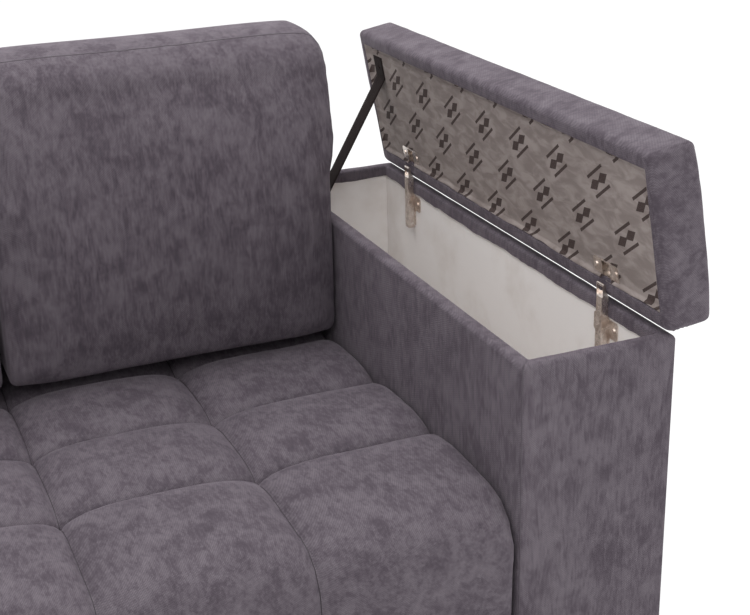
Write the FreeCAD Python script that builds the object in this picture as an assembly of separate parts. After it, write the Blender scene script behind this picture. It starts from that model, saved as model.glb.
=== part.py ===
import FreeCAD, Part
import math
import os

os.makedirs("parts", exist_ok=True)

# Two-seat sofa with a storage box in each armrest. X runs to the right, Y to the back, Z up.
# The origin is on the floor, in the middle of the space between the two arms' outer faces.
# The right arm's lid is built closed and then turned open; the left arm's lid stays closed.

# Overall sizes
seat_width = 1072.0
arm_width = 223.0
sofa_depth = 907.0
rim_height = 620.0
foot_height = 40.0

# Skins, boards and fits
skin = 2.5
board = 16.0
soft_gap = 0.3
screw_fit = 0.1
cover_turn_in = 17.0
arm_edge_radius = 5.0
arm_corner_radius = 6.0

# Arm box
storage_floor = 120.0
arm_rail_width = 60.0

# Lid
lid_outer_overhang = 16.0
lid_front_overhang = 8.0
lid_rear_setback = 4.0
lid_thickness = 66.0
lid_crown = 5.0
lid_roll = 6.0
lid_side_bulge = 1.5
lid_hinge_roll_radius = 13.0
lid_edge_radius = 9.0
lid_end_radius = 8.0
lid_board_inset = 13.5
lid_border_side = 24.5
lid_border_front = 18.0
lid_border_rear = 20.0
border_notch = 7.5
lining = 1.0
lining_fit = 0.5
lid_open_angle = 80.2
pivot_out = 3.5
pivot_up = 26.2

# Concealed hinges
hinge_spacing = 632.0
cup_from_edge = 35.0
cup_radius = 17.4
cup_wall = 0.8
cup_depth = 12.7
flange_length = 61.0
flange_width = 25.0
flange = 1.3
flange_corner_radius = 4.0
cup_screw_pitch = 48.0
cup_slot_width = 20.0
arm_half_width = 7.2
arm_standoff = 13.0
arm_fabric_relief = 1.4
arm_drop = 80.0
nose_fold = 10.5
nose_top = 16.6
nose_flat = 1.1
channel_wall = 1.3
plate = 1.5
plate_half_width = 10.0
plate_drop = 75.0
wing_length = 60.0
wing_top_drop = 22.0
wing_height = 26.0
plate_screw_pitch = 40.0
hinge_screw_radius = 1.7
hinge_screw_head = 3.7
hinge_screw_length = 12.0
link_pin_in = 10.0
link_pin_up = 11.5
link_length = 16.0
link_plate = 1.0
link_gap = 0.2
link_half_height = 2.2
link_closed_angle = 4.0
link_ratio = 1.1

# Strap that stops the lid
strap_width = 35.0
strap = 1.8
strap_from_rear = 65.5
strap_anchor_drop = 100.0
strap_tab_length = 37.0
strap_lid_reach = 165.0
strap_loop_bow = 100.0
tack_radius = 3.0
tack_height = 1.2

# Seat frame and springing
rail = 22.0
apron_height = 126.0
base_clearance = 60.0
spring_rail_top = 300.0
spring_rail_height = 110.0
front_setback = 55.0
spring_count = 7
spring_wire = 3.6
spring_loop_radius = 12.0
spring_loop_width = 50.0
spring_bays = 30
clip_size = 18.0
deck_felt = 5.0
centre_post = 45.0

# Seat pad with its sewn squares
seat_side_gap = 4.0
foam_top = 370.0
seam_row_shares = (0.2729, 0.5, 0.7249)
seat_rear_setback = 123.5
seat_front_overhang = 2.5
seat_front_bottom = 190.0
seam_cross_height = 391.0
seam_mid_height = 414.0
crown_at_seam = 411.0
crown_height = 438.0
row_fall = 7.5
front_crown_drop = 9.0
front_roll_core = 15.0

# Back
back_depth = 108.5
back_top = 840.0
post_width = 40.0
post_depth = 60.0
back_board = 4.0
webbing_width = 60.0
webbing = 2.0
webbing_heights = (430.0, 530.0, 630.0, 730.0)
cushion_gap = 3.0
cushion_bottom = 430.0
cushion_top = 928.0
cushion_thickness = 202.0
cushion_side_draw = 13.0
cushion_corner_radius = 88.0
cushion_foot_radius = 28.0

# Feet
foot_radius = 30.0
foot_tip_radius = 24.0
foot_inset_y = 58.0
foot_screw_radius = 3.0
foot_screw_head = 7.0
foot_screw_head_height = 4.0
foot_screw_bite = 34.0
foot_counterbore = 20.0
foot_stud_radius = 4.0
foot_stud_length = 30.0
bolt_radius = 4.0
bolt_head_radius = 9.0
bolt_head = 3.0

# Derived places
half_depth = sofa_depth / 2
arm_inner = seat_width / 2
arm_outer = arm_inner + arm_width
board_rim = rim_height - skin
inner_wall = arm_inner + skin + board
outer_wall = arm_outer - skin - board
end_wall = half_depth - skin - board
lid_seat = rim_height + soft_gap
lid_x0 = arm_inner
lid_x1 = arm_outer + lid_outer_overhang
lid_y0 = -half_depth - lid_front_overhang
lid_y1 = half_depth - lid_rear_setback
lid_board_z = lid_seat + lid_roll
window_x0 = lid_x0 + lid_border_side
window_x1 = lid_x1 - lid_border_side
window_y0 = lid_y0 + lid_border_front
window_y1 = lid_y1 - lid_border_rear
pivot = FreeCAD.Vector(arm_outer + pivot_out, 0, rim_height + pivot_up)
cup_x = lid_x1 - cup_from_edge
flange_z = lid_board_z - lining - flange
hinge_ys = (-hinge_spacing / 2, hinge_spacing / 2)
link_pin = FreeCAD.Vector(outer_wall - link_pin_in, 0, rim_height + link_pin_up)
seat_half = arm_inner - seat_side_gap
strap_y = half_depth - strap_from_rear
seam_rows = [sofa_depth * share - half_depth for share in seam_row_shares]
seat_rear = half_depth - seat_rear_setback
seat_front_face = half_depth + seat_front_overhang
rear_rail_y = half_depth - skin - back_board - post_depth - rail
back_front = half_depth - back_depth
cushion_rear = back_front - soft_gap
cushion_front = cushion_rear - cushion_thickness
foam_bottom = spring_rail_top + spring_wire + deck_felt


def vec(x, y, z):
    return FreeCAD.Vector(x, y, z)


def box(x0, x1, y0, y1, z0, z1):
    return Part.makeBox(x1 - x0, y1 - y0, z1 - z0, vec(x0, y0, z0))


def cylinder(radius, height, base, axis):
    return Part.makeCylinder(radius, height, base, axis)


def line(a, b):
    return Part.LineSegment(a, b).toShape()


def arc(a, b, c):
    return Part.Arc(a, b, c).toShape()


def bowed(a, b, bow):
    # Arc from a to b whose middle is pushed out by the vector bow
    return arc(a, (a + b) * 0.5 + bow, b)


def polygon(points):
    closed = list(points) + [points[0]]
    return Part.makePolygon(closed)


def prism(points, direction):
    return Part.Face(polygon(points)).extrude(direction)


def rounded(shape, radius, picks):
    # Rounds the edges whose middle point is picked
    edges = [e for e in shape.Edges if picks(e.BoundBox)]
    if not edges:
        return shape
    return shape.makeFillet(radius, edges)


def mirrored(shape):
    return shape.mirror(vec(0, 0, 0), vec(1, 0, 0))


def turned(shape, centre, angle):
    copy = shape.copy()
    copy.rotate(centre, vec(0, 1, 0), angle)
    return copy


def group(shapes):
    return Part.makeCompound(list(shapes))


def save(name, shape):
    shape.exportStep("parts/" + name + ".step")


def both_sides(name, shape):
    save(name + "_right", shape)
    save(name + "_left", mirrored(shape))


def upright(bounds):
    return bounds.ZLength > 10 and bounds.XLength < 0.01 and bounds.YLength < 0.01


# Arm box

def arm_panels():
    x0 = arm_inner + skin
    x1 = arm_outer - skin
    y1 = half_depth - skin
    outer = box(outer_wall, x1, -y1, y1, foot_height, board_rim)
    for y in hinge_ys:
        for side in (-1, 1):
            outer = outer.cut(plate_screw_hole(y + side * plate_screw_pitch / 2))
    inner = box(x0, inner_wall, -y1, y1, foot_height, board_rim)
    for y, z in bolt_places():
        inner = inner.cut(cylinder(bolt_radius + screw_fit, board, vec(x0, y, z), vec(1, 0, 0)))
    front = box(inner_wall, outer_wall, -y1, -end_wall, foot_height, board_rim)
    rear = box(inner_wall, outer_wall, end_wall, y1, foot_height, board_rim)
    floor = box(inner_wall, outer_wall, -end_wall, end_wall, storage_floor - board, storage_floor)
    return outer, inner, front, rear, floor


def arm_rails():
    rails = []
    for side in (-1, 1):
        near = end_wall - arm_rail_width
        y0, y1 = sorted((side * near, side * end_wall))
        block = box(inner_wall, outer_wall, y0, y1, foot_height, storage_floor - board)
        rails.append(block.cut(foot_screw_hole(foot_x(), side * foot_y())))
    return group(rails)


def arm_cover():
    shell = box(arm_inner, arm_outer, -half_depth, half_depth, foot_height, rim_height)
    shell = rounded(shell, arm_corner_radius, upright)
    shell = rounded(shell, arm_edge_radius, lambda b: b.ZMin > rim_height - 0.01)
    inside = half_depth - skin
    core = box(arm_inner + skin, arm_outer - skin, -inside, inside, foot_height - 1, board_rim)
    mouth = box(inner_wall, outer_wall, -end_wall, end_wall, board_rim - 1, rim_height + 1)
    shell = shell.cut(core).cut(mouth)
    for y, z in bolt_places():
        hole = cylinder(bolt_radius + screw_fit, 2 * skin, vec(arm_inner - 1, y, z), vec(1, 0, 0))
        shell = shell.cut(hole)
    lip_bottom = rim_height - cover_turn_in
    lip = box(inner_wall, outer_wall, -end_wall, end_wall, lip_bottom, rim_height)
    reach = end_wall - skin
    lip = lip.cut(box(inner_wall + skin, outer_wall - skin, -reach, reach, lip_bottom - 1, rim_height + 1))
    return shell.fuse(lip).removeSplitter()


# Concealed hinge, fixed side

def plate_screw_z():
    return rim_height - wing_top_drop - wing_height / 2


def plate_screw_hole(y):
    depth = hinge_screw_length + 1
    hole = hinge_screw_radius + screw_fit
    return cylinder(hole, depth + plate, vec(outer_wall - plate, y, plate_screw_z()), vec(1, 0, 0))


def mounting_plate(y):
    body = box(outer_wall - plate, outer_wall, y - plate_half_width, y + plate_half_width,
               rim_height - plate_drop, rim_height - wing_top_drop)
    top = rim_height - wing_top_drop
    wings = box(outer_wall - plate, outer_wall, y - wing_length / 2, y + wing_length / 2,
                top - wing_height, top)
    wings = rounded(wings, flange_corner_radius, lambda b: b.XLength > 1 and b.YLength < 0.01 and b.ZLength < 0.01)
    shape = body.fuse(wings).removeSplitter()
    for side in (-1, 1):
        shape = shape.cut(plate_screw_hole(y + side * plate_screw_pitch / 2))
    return shape


def plate_screws(y):
    screws = []
    for side in (-1, 1):
        place = vec(outer_wall - plate, y + side * plate_screw_pitch / 2, plate_screw_z())
        head = cylinder(hinge_screw_head, plate, place - vec(plate, 0, 0), vec(1, 0, 0))
        shank = cylinder(hinge_screw_radius, hinge_screw_length, place, vec(1, 0, 0))
        screws.append(head.fuse(shank))
    return screws


def arm_profile(inset):
    face = outer_wall - arm_standoff + inset
    back = outer_wall - plate
    relief = back - arm_fabric_relief
    low = rim_height - arm_drop
    lip = rim_height - cover_turn_in - 1
    fold = rim_height + nose_fold - inset / 2
    top = rim_height + nose_top - inset
    top_x = outer_wall - arm_standoff + nose_top - nose_fold
    return [
        vec(face, 0, low),
        vec(face, 0, fold),
        vec(top_x, 0, top),
        vec(top_x + nose_flat, 0, top),
        vec(relief, 0, top - nose_top + nose_fold + 1),
        vec(relief, 0, lip),
        vec(back, 0, lip),
        vec(back, 0, low),
    ]


def hinge_arm(y):
    outside = prism(arm_profile(0), vec(0, 2 * arm_half_width, 0))
    hollow = prism([p + vec(0, channel_wall, 0) for p in arm_profile(channel_wall)],
                   vec(0, 2 * (arm_half_width - channel_wall), 0))
    open_back = hollow.copy()
    open_back.translate(vec(channel_wall, 0, 0))
    channel = outside.cut(hollow).cut(open_back)
    channel.translate(vec(0, y - arm_half_width, 0))
    pin = cylinder(1.0, 2 * (arm_half_width + link_gap + link_plate),
                   link_pin + vec(0, y - arm_half_width - link_gap - link_plate, 0), vec(0, 1, 0))
    return channel.fuse(pin)


def hinge_link(y):
    # Two side plates that turn on the nose's pin, joined by a bridge at their far end
    plates = []
    for side in (-1, 1):
        near = arm_half_width + link_gap
        y0 = y + (near if side > 0 else -near - link_plate)
        body = box(0, link_length, 0, link_plate, -link_half_height, link_half_height)
        for x in (0, link_length):
            body = body.fuse(cylinder(link_half_height, link_plate, vec(x, 0, 0), vec(0, 1, 0)))
        body = body.cut(cylinder(1.0 + screw_fit / 2, link_plate, vec(0, 0, 0), vec(0, 1, 0)))
        body.translate(vec(0, y0, 0))
        plates.append(body)
    reach = arm_half_width + link_gap
    bridge = cylinder(link_half_height, 2 * reach, vec(link_length, y - reach, 0), vec(0, 1, 0))
    link = plates[0].fuse(plates[1]).fuse(bridge)
    link.translate(link_pin)
    return turned(link, link_pin, -link_closed_angle)


# Lid, in its closed place

def lid_section(inset, bottom, y):
    x0 = lid_x0 + inset
    x1 = lid_x1 - inset
    top = lid_seat + lid_thickness - inset
    roll = lid_hinge_roll_radius - inset
    soft = lid_edge_radius - inset / 2
    mid = (x0 + x1) / 2
    half = math.sqrt(0.5)
    z_side = (bottom + top) / 2

    def corner(cx, cz, radius, sx, sz):
        return vec(cx + sx * radius * half, y, cz + sz * radius * half)

    edges = [
        line(vec(x0 + soft, y, bottom), vec(x1 - roll, y, bottom)),
        arc(vec(x1 - roll, y, bottom), corner(x1 - roll, bottom + roll, roll, 1, -1), vec(x1, y, bottom + roll)),
        arc(vec(x1, y, bottom + roll), vec(x1 + lid_side_bulge, y, z_side), vec(x1, y, top - soft)),
        arc(vec(x1, y, top - soft), corner(x1 - soft, top - soft, soft, 1, 1), vec(x1 - soft, y, top)),
        arc(vec(x1 - soft, y, top), vec(mid, y, top + lid_crown), vec(x0 + soft, y, top)),
        arc(vec(x0 + soft, y, top), corner(x0 + soft, top - soft, soft, -1, 1), vec(x0, y, top - soft)),
        line(vec(x0, y, top - soft), vec(x0, y, bottom + soft)),
        arc(vec(x0, y, bottom + soft), corner(x0 + soft, bottom + soft, soft, -1, -1), vec(x0 + soft, y, bottom)),
    ]
    return Part.Wire(edges)


def lid_body(inset, bottom):
    # Padded block with drawn-in ends: the end sections are smaller than the middle ones
    y0 = lid_y0 + inset
    y1 = lid_y1 - inset
    main = Part.Face(lid_section(inset, bottom, y0)).extrude(vec(0, y1 - y0, 0))
    ends = [e for e in main.Edges if e.BoundBox.YLength < 0.01]
    return main.makeFillet(lid_end_radius - inset, ends)


def lid_cups():
    return [cylinder(cup_radius + screw_fit, cup_depth + flange + lining + 1, vec(cup_x, y, flange_z - 1),
                     vec(0, 0, 1)) for y in hinge_ys]


def cup_screw_places():
    return [vec(cup_x - 4, y + side * cup_screw_pitch / 2, flange_z) for y in hinge_ys for side in (-1, 1)]


def cup_screw_holes():
    hole = hinge_screw_radius + screw_fit
    return [cylinder(hole, hinge_screw_length + flange + 1, place, vec(0, 0, 1)) for place in cup_screw_places()]


def lid_board():
    shape = box(lid_x0 + lid_board_inset, lid_x1 - lid_board_inset, lid_y0 + lid_board_inset,
                lid_y1 - lid_board_inset, lid_board_z, lid_board_z + board)
    for tool in lid_cups() + cup_screw_holes():
        shape = shape.cut(tool)
    return shape


def lid_window(grow):
    return box(window_x0 - grow, window_x1 + grow, window_y0 - grow, window_y1 + grow,
               lid_seat - 1, lid_board_z)


def border_notches():
    # The folded border steps back where the hinge arm swings through
    half = cup_radius - 2
    return [box(window_x1 - 1, window_x1 + border_notch, y - half, y + half, lid_seat - 1, lid_board_z)
            for y in hinge_ys]


def lid_cover():
    shell = lid_body(0, lid_seat).cut(lid_body(skin, lid_board_z)).cut(lid_window(0))
    for notch in border_notches():
        shell = shell.cut(notch)
    return shell


def lid_foam():
    inside = lid_body(skin, lid_board_z)
    return inside.cut(box(lid_x0 + lid_board_inset, lid_x1 - lid_board_inset, lid_y0 + lid_board_inset,
                          lid_y1 - lid_board_inset, lid_board_z - 1, lid_board_z + board))


def lid_lining():
    sheet = lid_window(-lining_fit).common(box(lid_x0, lid_x1, lid_y0, lid_y1, lid_board_z - lining, lid_board_z))
    for tool in lid_cups() + cup_screw_holes():
        sheet = sheet.cut(tool)
    return sheet


def hinge_cup(y):
    length = flange_length / 2
    x0 = cup_x - flange_width / 2 - 3
    x1 = x0 + flange_width
    top = box(x0, x1, y - length, y + length, flange_z, flange_z + flange)
    top = rounded(top, flange_corner_radius, lambda b: b.ZLength > 1 and b.XLength < 0.01 and b.YLength < 0.01)
    cup = cylinder(cup_radius, cup_depth, vec(cup_x, y, flange_z + flange), vec(0, 0, 1))
    inner = cylinder(cup_radius - cup_wall, cup_depth - cup_wall, vec(cup_x, y, flange_z + flange), vec(0, 0, 1))
    slot_x0 = outer_wall - arm_standoff - 1.2
    slot = box(slot_x0, x1 + 1, y - cup_slot_width / 2, y + cup_slot_width / 2, flange_z - 1, flange_z + flange)
    shape = top.fuse(cup).cut(inner).cut(slot)
    for hole in cup_screw_holes():
        shape = shape.cut(hole)
    return shape


def cup_screws():
    screws = []
    for place in cup_screw_places():
        head = cylinder(hinge_screw_head, flange, place - vec(0, 0, flange), vec(0, 0, 1))
        screws.append(head.fuse(cylinder(hinge_screw_radius, hinge_screw_length, place, vec(0, 0, 1))))
    return group(screws)


# Strap between the arm's inner wall and the lid

def strap_lid_point():
    # Where the strap leaves the lid, in the closed place
    return vec(lid_x1 - strap_lid_reach, 0, lid_board_z - lining)


def strap_wall_point():
    return vec(inner_wall, 0, rim_height - strap_anchor_drop)


def ribbon(points, thickness):
    # Flat band through points in the XZ plane, with its width along Y
    half = thickness / 2
    left = []
    right = []
    for index, point in enumerate(points):
        before = points[max(index - 1, 0)]
        after = points[min(index + 1, len(points) - 1)]
        run = (after - before).normalize()
        side = vec(-run.z, 0, run.x) * half
        left.append(point + side)
        right.append(point - side)
    outline = left + right[::-1]
    face = Part.Face(polygon(outline))
    band = face.extrude(vec(0, strap_width, 0))
    band.translate(vec(0, strap_y - strap_width / 2, 0))
    return band


def strap_wall_ends():
    # The tab that lies flat on the wall, from its free end up to where the strap leaves it
    top = strap_wall_point() + vec(strap / 2, 0, 0)
    return [top - vec(0, 0, strap_tab_length), top]


def strap_open():
    # The taut strap, with its sewn tab flat on the lid's lining
    leave = strap_lid_point() - vec(0, 0, strap / 2)
    tab_end = leave - vec(strap_tab_length, 0, 0)
    leave = turned(Part.Vertex(leave), pivot, lid_open_angle).Point
    tab_end = turned(Part.Vertex(tab_end), pivot, lid_open_angle).Point
    return ribbon(strap_wall_ends() + [leave, tab_end], strap)


def strap_closed():
    # With the lid shut the same strap bows into the box
    leave = strap_lid_point() - vec(0, 0, strap / 2)
    tab_end = leave - vec(strap_tab_length, 0, 0)
    foot_end, start = strap_wall_ends()
    steps = 8
    points = [foot_end, start]
    for step in range(1, steps):
        share = step / steps
        along = start + (leave - start) * share
        bow = strap_loop_bow * math.sin(math.pi * share) ** 0.8
        points.append(along + vec(bow, 0, -0.1 * bow))
    return ribbon(points + [leave, tab_end], strap)


def strap_lid_tack():
    place = strap_lid_point() + vec(-strap_tab_length / 2, strap_y, -strap - tack_height)
    return cylinder(tack_radius, tack_height, place, vec(0, 0, 1))


def strap_wall_tack():
    place = strap_wall_point() + vec(strap, strap_y, -strap_tab_length / 2)
    return cylinder(tack_radius, tack_height, place, vec(1, 0, 0))


# Seat frame, springs and pads

def seat_front_rail():
    face = -half_depth + 4 * skin
    lower = box(-seat_half, seat_half, face, face + rail, base_clearance, base_clearance + apron_height)
    shelf_back = -half_depth + front_setback + rail
    shelf = box(-seat_half, seat_half, face + rail, shelf_back, base_clearance + apron_height - rail,
                base_clearance + apron_height)
    return lower.fuse(shelf).removeSplitter()


def spring_rails():
    low = base_clearance + apron_height
    front = -half_depth + front_setback
    x1 = seat_half - rail
    return group([
        box(-x1, x1, front, front + rail, low, spring_rail_top),
        box(-x1, x1, rear_rail_y, rear_rail_y + rail, spring_rail_top - spring_rail_height, spring_rail_top),
    ])


def bolt_places():
    z = spring_rail_top - spring_rail_height / 2
    return [(-half_depth * 0.6, z), (half_depth * 0.6, z)]


def side_rails():
    low = base_clearance + apron_height
    y0 = -half_depth + front_setback
    shape = box(seat_half - rail, arm_inner, y0, rear_rail_y + rail, low, spring_rail_top)
    for y, z in bolt_places():
        shape = shape.cut(cylinder(bolt_radius + screw_fit, 2 * rail, vec(seat_half - rail - 1, y, z), vec(1, 0, 0)))
    return group([shape, mirrored(shape)])


def arm_bolts():
    bolts = []
    for y, z in bolt_places():
        x0 = seat_half - rail
        head = cylinder(bolt_head_radius, bolt_head, vec(x0 - bolt_head, y, z), vec(1, 0, 0))
        shank = cylinder(bolt_radius, inner_wall - x0 - 1, vec(x0, y, z), vec(1, 0, 0))
        bolt = head.fuse(shank)
        bolts += [bolt, mirrored(bolt)]
    return group(bolts)


def centre_rail():
    # The rail that ties front to rear, and the post that stands under its middle
    front = -half_depth + front_setback + rail
    low = base_clearance + apron_height
    rail_bar = box(-rail / 2, rail / 2, front, rear_rail_y, low, spring_rail_top - 30)
    post = box(-centre_post / 2, centre_post / 2, -centre_post / 2, centre_post / 2, foot_height, low)
    stud = cylinder(foot_stud_radius + screw_fit, foot_stud_length + 1, vec(0, 0, foot_height), vec(0, 0, 1))
    return group([rail_bar, post.cut(stud)])


def zigzag_spring(x):
    # One wire bent to and fro across X while it runs from the front rail to the rear rail
    half_wire = spring_wire / 2
    half_run = spring_loop_width / 2 - spring_loop_radius
    start = -half_depth + front_setback + rail / 2
    pitch = (rear_rail_y + rail / 2 - start) / (spring_bays - 1)
    radius = pitch / 2
    z = spring_rail_top

    def boundary(side):
        edges = []
        for bay in range(spring_bays):
            forward = bay % 2 == 0
            y = start + bay * pitch
            offset = side * half_wire if forward else -side * half_wire
            x0, x1 = (x - half_run, x + half_run) if forward else (x + half_run, x - half_run)
            a = vec(x0, y + offset, z)
            b = vec(x1, y + offset, z)
            edges.append(line(a, b))
            if bay == spring_bays - 1:
                break
            inner = (side > 0) == forward
            turn = radius - half_wire if inner else radius + half_wire
            reach = turn if forward else -turn
            middle = vec(x1 + reach, y + radius, z)
            edges.append(arc(b, middle, vec(x1, y + pitch - offset, z)))
        return edges

    left = boundary(1)
    right = boundary(-1)
    first = line(right[0].Vertexes[0].Point, left[0].Vertexes[0].Point)
    last_left = left[-1].Vertexes[-1].Point
    last_right = right[-1].Vertexes[-1].Point
    wire = Part.Wire(Part.__sortEdges__(left + right + [first, line(last_left, last_right)]))
    return Part.Face(wire).extrude(vec(0, 0, spring_wire))


def spring_places():
    pitch = 2 * (seat_half - rail) / spring_count
    return [(index - (spring_count - 1) / 2) * pitch for index in range(spring_count)]


def spring_clips():
    clips = []
    for x in spring_places():
        for y in (-half_depth + front_setback, rear_rail_y):
            base = spring_rail_top + spring_wire
            clips.append(box(x - clip_size / 2, x + clip_size / 2, y + 2, y + rail - 2, base, base + 1.5))
    return group(clips)


def felt():
    y0 = -half_depth + front_setback + rail + 2
    low = spring_rail_top + spring_wire
    return box(-seat_half + rail, seat_half - rail, y0, rear_rail_y - 2, low, low + deck_felt)


def seat_foam():
    front = -half_depth + front_setback
    shape = box(-seat_half, seat_half, front, seat_rear, foam_bottom + 2, foam_top)
    return rounded(shape, front_roll_core,
                   lambda b: b.XLength > 10 and b.ZMin > foam_top - 0.01 and b.YMax < front + 0.01)


def tuft_section(base_y, base_z, lean, seam, crown):
    # Closed outline over the seat's width: one arc for each sewn square, then straight home.
    # lean is the tilt of the section from upright towards the front, in degrees.
    up_y = -math.sin(math.radians(lean))
    up_z = math.cos(math.radians(lean))

    def at(x, height):
        return vec(x, base_y + up_y * height, base_z + up_z * height)

    quarter = seat_half / 2
    xs = [-seat_half, -quarter, 0.0, quarter, seat_half]
    edges = [line(at(xs[0], 0), at(xs[0], seam))]
    for x0, x1 in zip(xs, xs[1:]):
        edges.append(arc(at(x0, seam), at((x0 + x1) / 2, crown), at(x1, seam)))
    edges.append(line(at(xs[-1], seam), at(xs[-1], 0)))
    edges.append(line(at(xs[-1], 0), at(xs[0], 0)))
    return Part.Wire(edges)


def seam_fall(y):
    # The pad sinks a little towards the back
    return row_fall * (y - seam_rows[0]) / (seam_rows[1] - seam_rows[0])


def cross_seam_section(y):
    fall = foam_top + seam_fall(y)
    return tuft_section(y, foam_top, 0, seam_cross_height - fall, crown_at_seam - fall)


def crown_section(y):
    fall = foam_top + seam_fall(y)
    return tuft_section(y, foam_top, 0, seam_mid_height - fall, crown_height - fall)


def tuft_row(y0, y1):
    sections = [cross_seam_section(y0), crown_section((y0 + y1) / 2), cross_seam_section(y1)]
    return Part.makeLoft(sections, True, False)


def rear_row(y0, y1):
    # The last row runs under the back cushions and ends in the middle of its squares
    sections = [cross_seam_section(y0), crown_section((2 * y0 + y1) / 3), crown_section(y1)]
    return Part.makeLoft(sections, True, False)


def front_rows():
    # The front row in three lengths: over the top, round the edge and down the face
    front = -half_depth + front_setback
    centre_y = front + front_roll_core
    centre_z = foam_top - front_roll_core
    depth = seat_front_face + front
    bow = front_roll_core * math.sqrt(0.5)
    seam = seam_mid_height - foam_top - 6
    crown = crown_height - foam_top - 5
    face_seam = depth - front_crown_drop
    edge = tuft_section(centre_y, foam_top, 0, seam, crown)
    brow = tuft_section(front, centre_z, 90, face_seam, depth)
    top = [cross_seam_section(seam_rows[0]), crown_section((seam_rows[0] + centre_y) / 2 - 5), edge]
    bend = [edge, tuft_section(centre_y - bow, centre_z + bow, 45, face_seam + 3, depth + 8), brow]
    face = [
        brow,
        tuft_section(front, (centre_z + seat_front_bottom) / 2, 90, face_seam, depth),
        tuft_section(front, seat_front_bottom, 90, face_seam - 6, depth - 8),
    ]
    return [Part.makeLoft(sections, True, False) for sections in (top, bend, face)]


def seat_pad():
    lengths = front_rows()
    for y0, y1 in zip(seam_rows, seam_rows[1:]):
        lengths.append(tuft_row(y0, y1))
    lengths.append(rear_row(seam_rows[-1], seat_rear))
    shape = lengths[0].multiFuse(lengths[1:])
    return shape.cut(seat_foam())


def front_cover():
    # Fabric over the low front rail
    face = -half_depth + 4 * skin
    shell = box(-seat_half, seat_half, face - skin, face, base_clearance - skin, base_clearance + apron_height)
    hem = box(-seat_half, seat_half, face, face + rail, base_clearance - skin, base_clearance)
    return shell.fuse(hem).removeSplitter()


def base_cloth():
    y0 = -half_depth + 4 * skin + rail
    cloth = box(-seat_half, seat_half, y0, half_depth - skin, base_clearance - 1, base_clearance)
    half = centre_post / 2 + soft_gap
    return cloth.cut(box(-half, half, -half, half, base_clearance - 2, base_clearance + 1))


# Back

def back_posts():
    y1 = half_depth - skin - back_board
    y0 = y1 - post_depth
    places = (-seat_half, -post_width / 2, seat_half - post_width)
    shape = [box(x, x + post_width, y0, y1, base_clearance, back_top - skin - post_width) for x in places]
    return group(shape)


def back_top_rail():
    y1 = half_depth - skin - back_board
    return box(-seat_half, seat_half, y1 - post_depth, y1, back_top - skin - post_width, back_top - skin)


def back_webbing():
    y1 = half_depth - skin - back_board - post_depth
    return group([box(-seat_half + 2, seat_half - 2, y1 - webbing, y1, z, z + webbing_width)
                  for z in webbing_heights])


def back_panel():
    y1 = half_depth - skin
    return box(-seat_half, seat_half, y1 - back_board, y1, base_clearance, back_top - skin)


def back_padding():
    y1 = half_depth - skin - back_board - post_depth - webbing
    y0 = back_front + skin
    return box(-seat_half, seat_half, y0, y1, spring_rail_top + 60, back_top - skin)


def back_cover():
    front = back_front
    shell = box(-seat_half - 1, seat_half + 1, front, half_depth, base_clearance, back_top)
    shell = rounded(shell, arm_corner_radius, lambda b: b.XLength > 10 and b.ZMin > back_top - 0.01)
    core = box(-seat_half, seat_half, front + skin, half_depth - skin, base_clearance - 1, back_top - skin)
    notch = box(-seat_half - 2, seat_half + 2, front - 1, rear_rail_y + rail + soft_gap, base_clearance - 1,
                spring_rail_top + 60)
    return shell.cut(core).cut(notch)


def cushion_section(x, draw, bulge):
    # Side profile of a back cushion; draw pulls every side in, bulge pushes the front out
    low = cushion_bottom + draw * 0.3
    top = cushion_top - draw
    front = cushion_front + draw
    rear = cushion_rear
    mid_z = cushion_bottom + 0.55 * (cushion_top - cushion_bottom)
    shoulder = vec(x, front + 32, mid_z + 140)
    points = [vec(x, front + 12, low), vec(x, front, low + 55), vec(x, front - 6, mid_z), shoulder]
    crest = vec(x, front + 125, top)
    nape = vec(x, rear - 6, top - 70)
    edges = [
        bowed(points[0], points[1], vec(0, -4, -4)),
        bowed(points[1], points[2], vec(0, -bulge, 0)),
        bowed(points[2], points[3], vec(0, -bulge * 0.6, 2)),
        bowed(shoulder, crest, vec(0, -13, 22)),
        bowed(crest, nape, vec(0, 11, 14)),
        line(nape, vec(x, rear, low + 20)),
        line(vec(x, rear, low + 20), vec(x, rear - 12, low)),
        line(vec(x, rear - 12, low), points[0]),
    ]
    return Part.Wire(edges)


def back_cushion():
    x0 = cushion_gap / 2
    x1 = arm_inner - cushion_gap
    width = x1 - x0
    draws = ((0.0, cushion_side_draw, 1), (0.08, 3, 4), (0.5, 0, 9), (0.92, 3, 4), (1.0, cushion_side_draw, 1))
    body = Part.makeLoft([cushion_section(x0 + share * width, draw, bulge) for share, draw, bulge in draws],
                         True, False)
    z0 = cushion_bottom - 5
    z1 = cushion_top + 5
    outline = box(x0, x1, 0, half_depth, z0, z1)
    outline = rounded(outline, cushion_corner_radius,
                      lambda b: b.YLength > 10 and b.ZMin > z1 - 0.01 and b.XLength < 0.01)
    outline = rounded(outline, cushion_foot_radius,
                      lambda b: b.YLength > 10 and b.ZMax < z0 + 0.01 and b.XLength < 0.01)
    return body.common(outline)


# Feet

def foot_x():
    return (arm_inner + arm_outer) / 2


def foot_y():
    return half_depth - foot_inset_y


def foot_screw_hole(x, y):
    return cylinder(foot_screw_radius + screw_fit, foot_screw_bite + 1, vec(x, y, foot_height - 1), vec(0, 0, 1))


def foot(x, y):
    shape = Part.makeCone(foot_tip_radius, foot_radius, foot_height, vec(x, y, 0), vec(0, 0, 1))
    shape = shape.cut(cylinder(foot_screw_head + 1, foot_counterbore, vec(x, y, 0), vec(0, 0, 1)))
    return shape.cut(cylinder(foot_screw_radius + screw_fit, foot_height, vec(x, y, 0), vec(0, 0, 1)))


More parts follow.
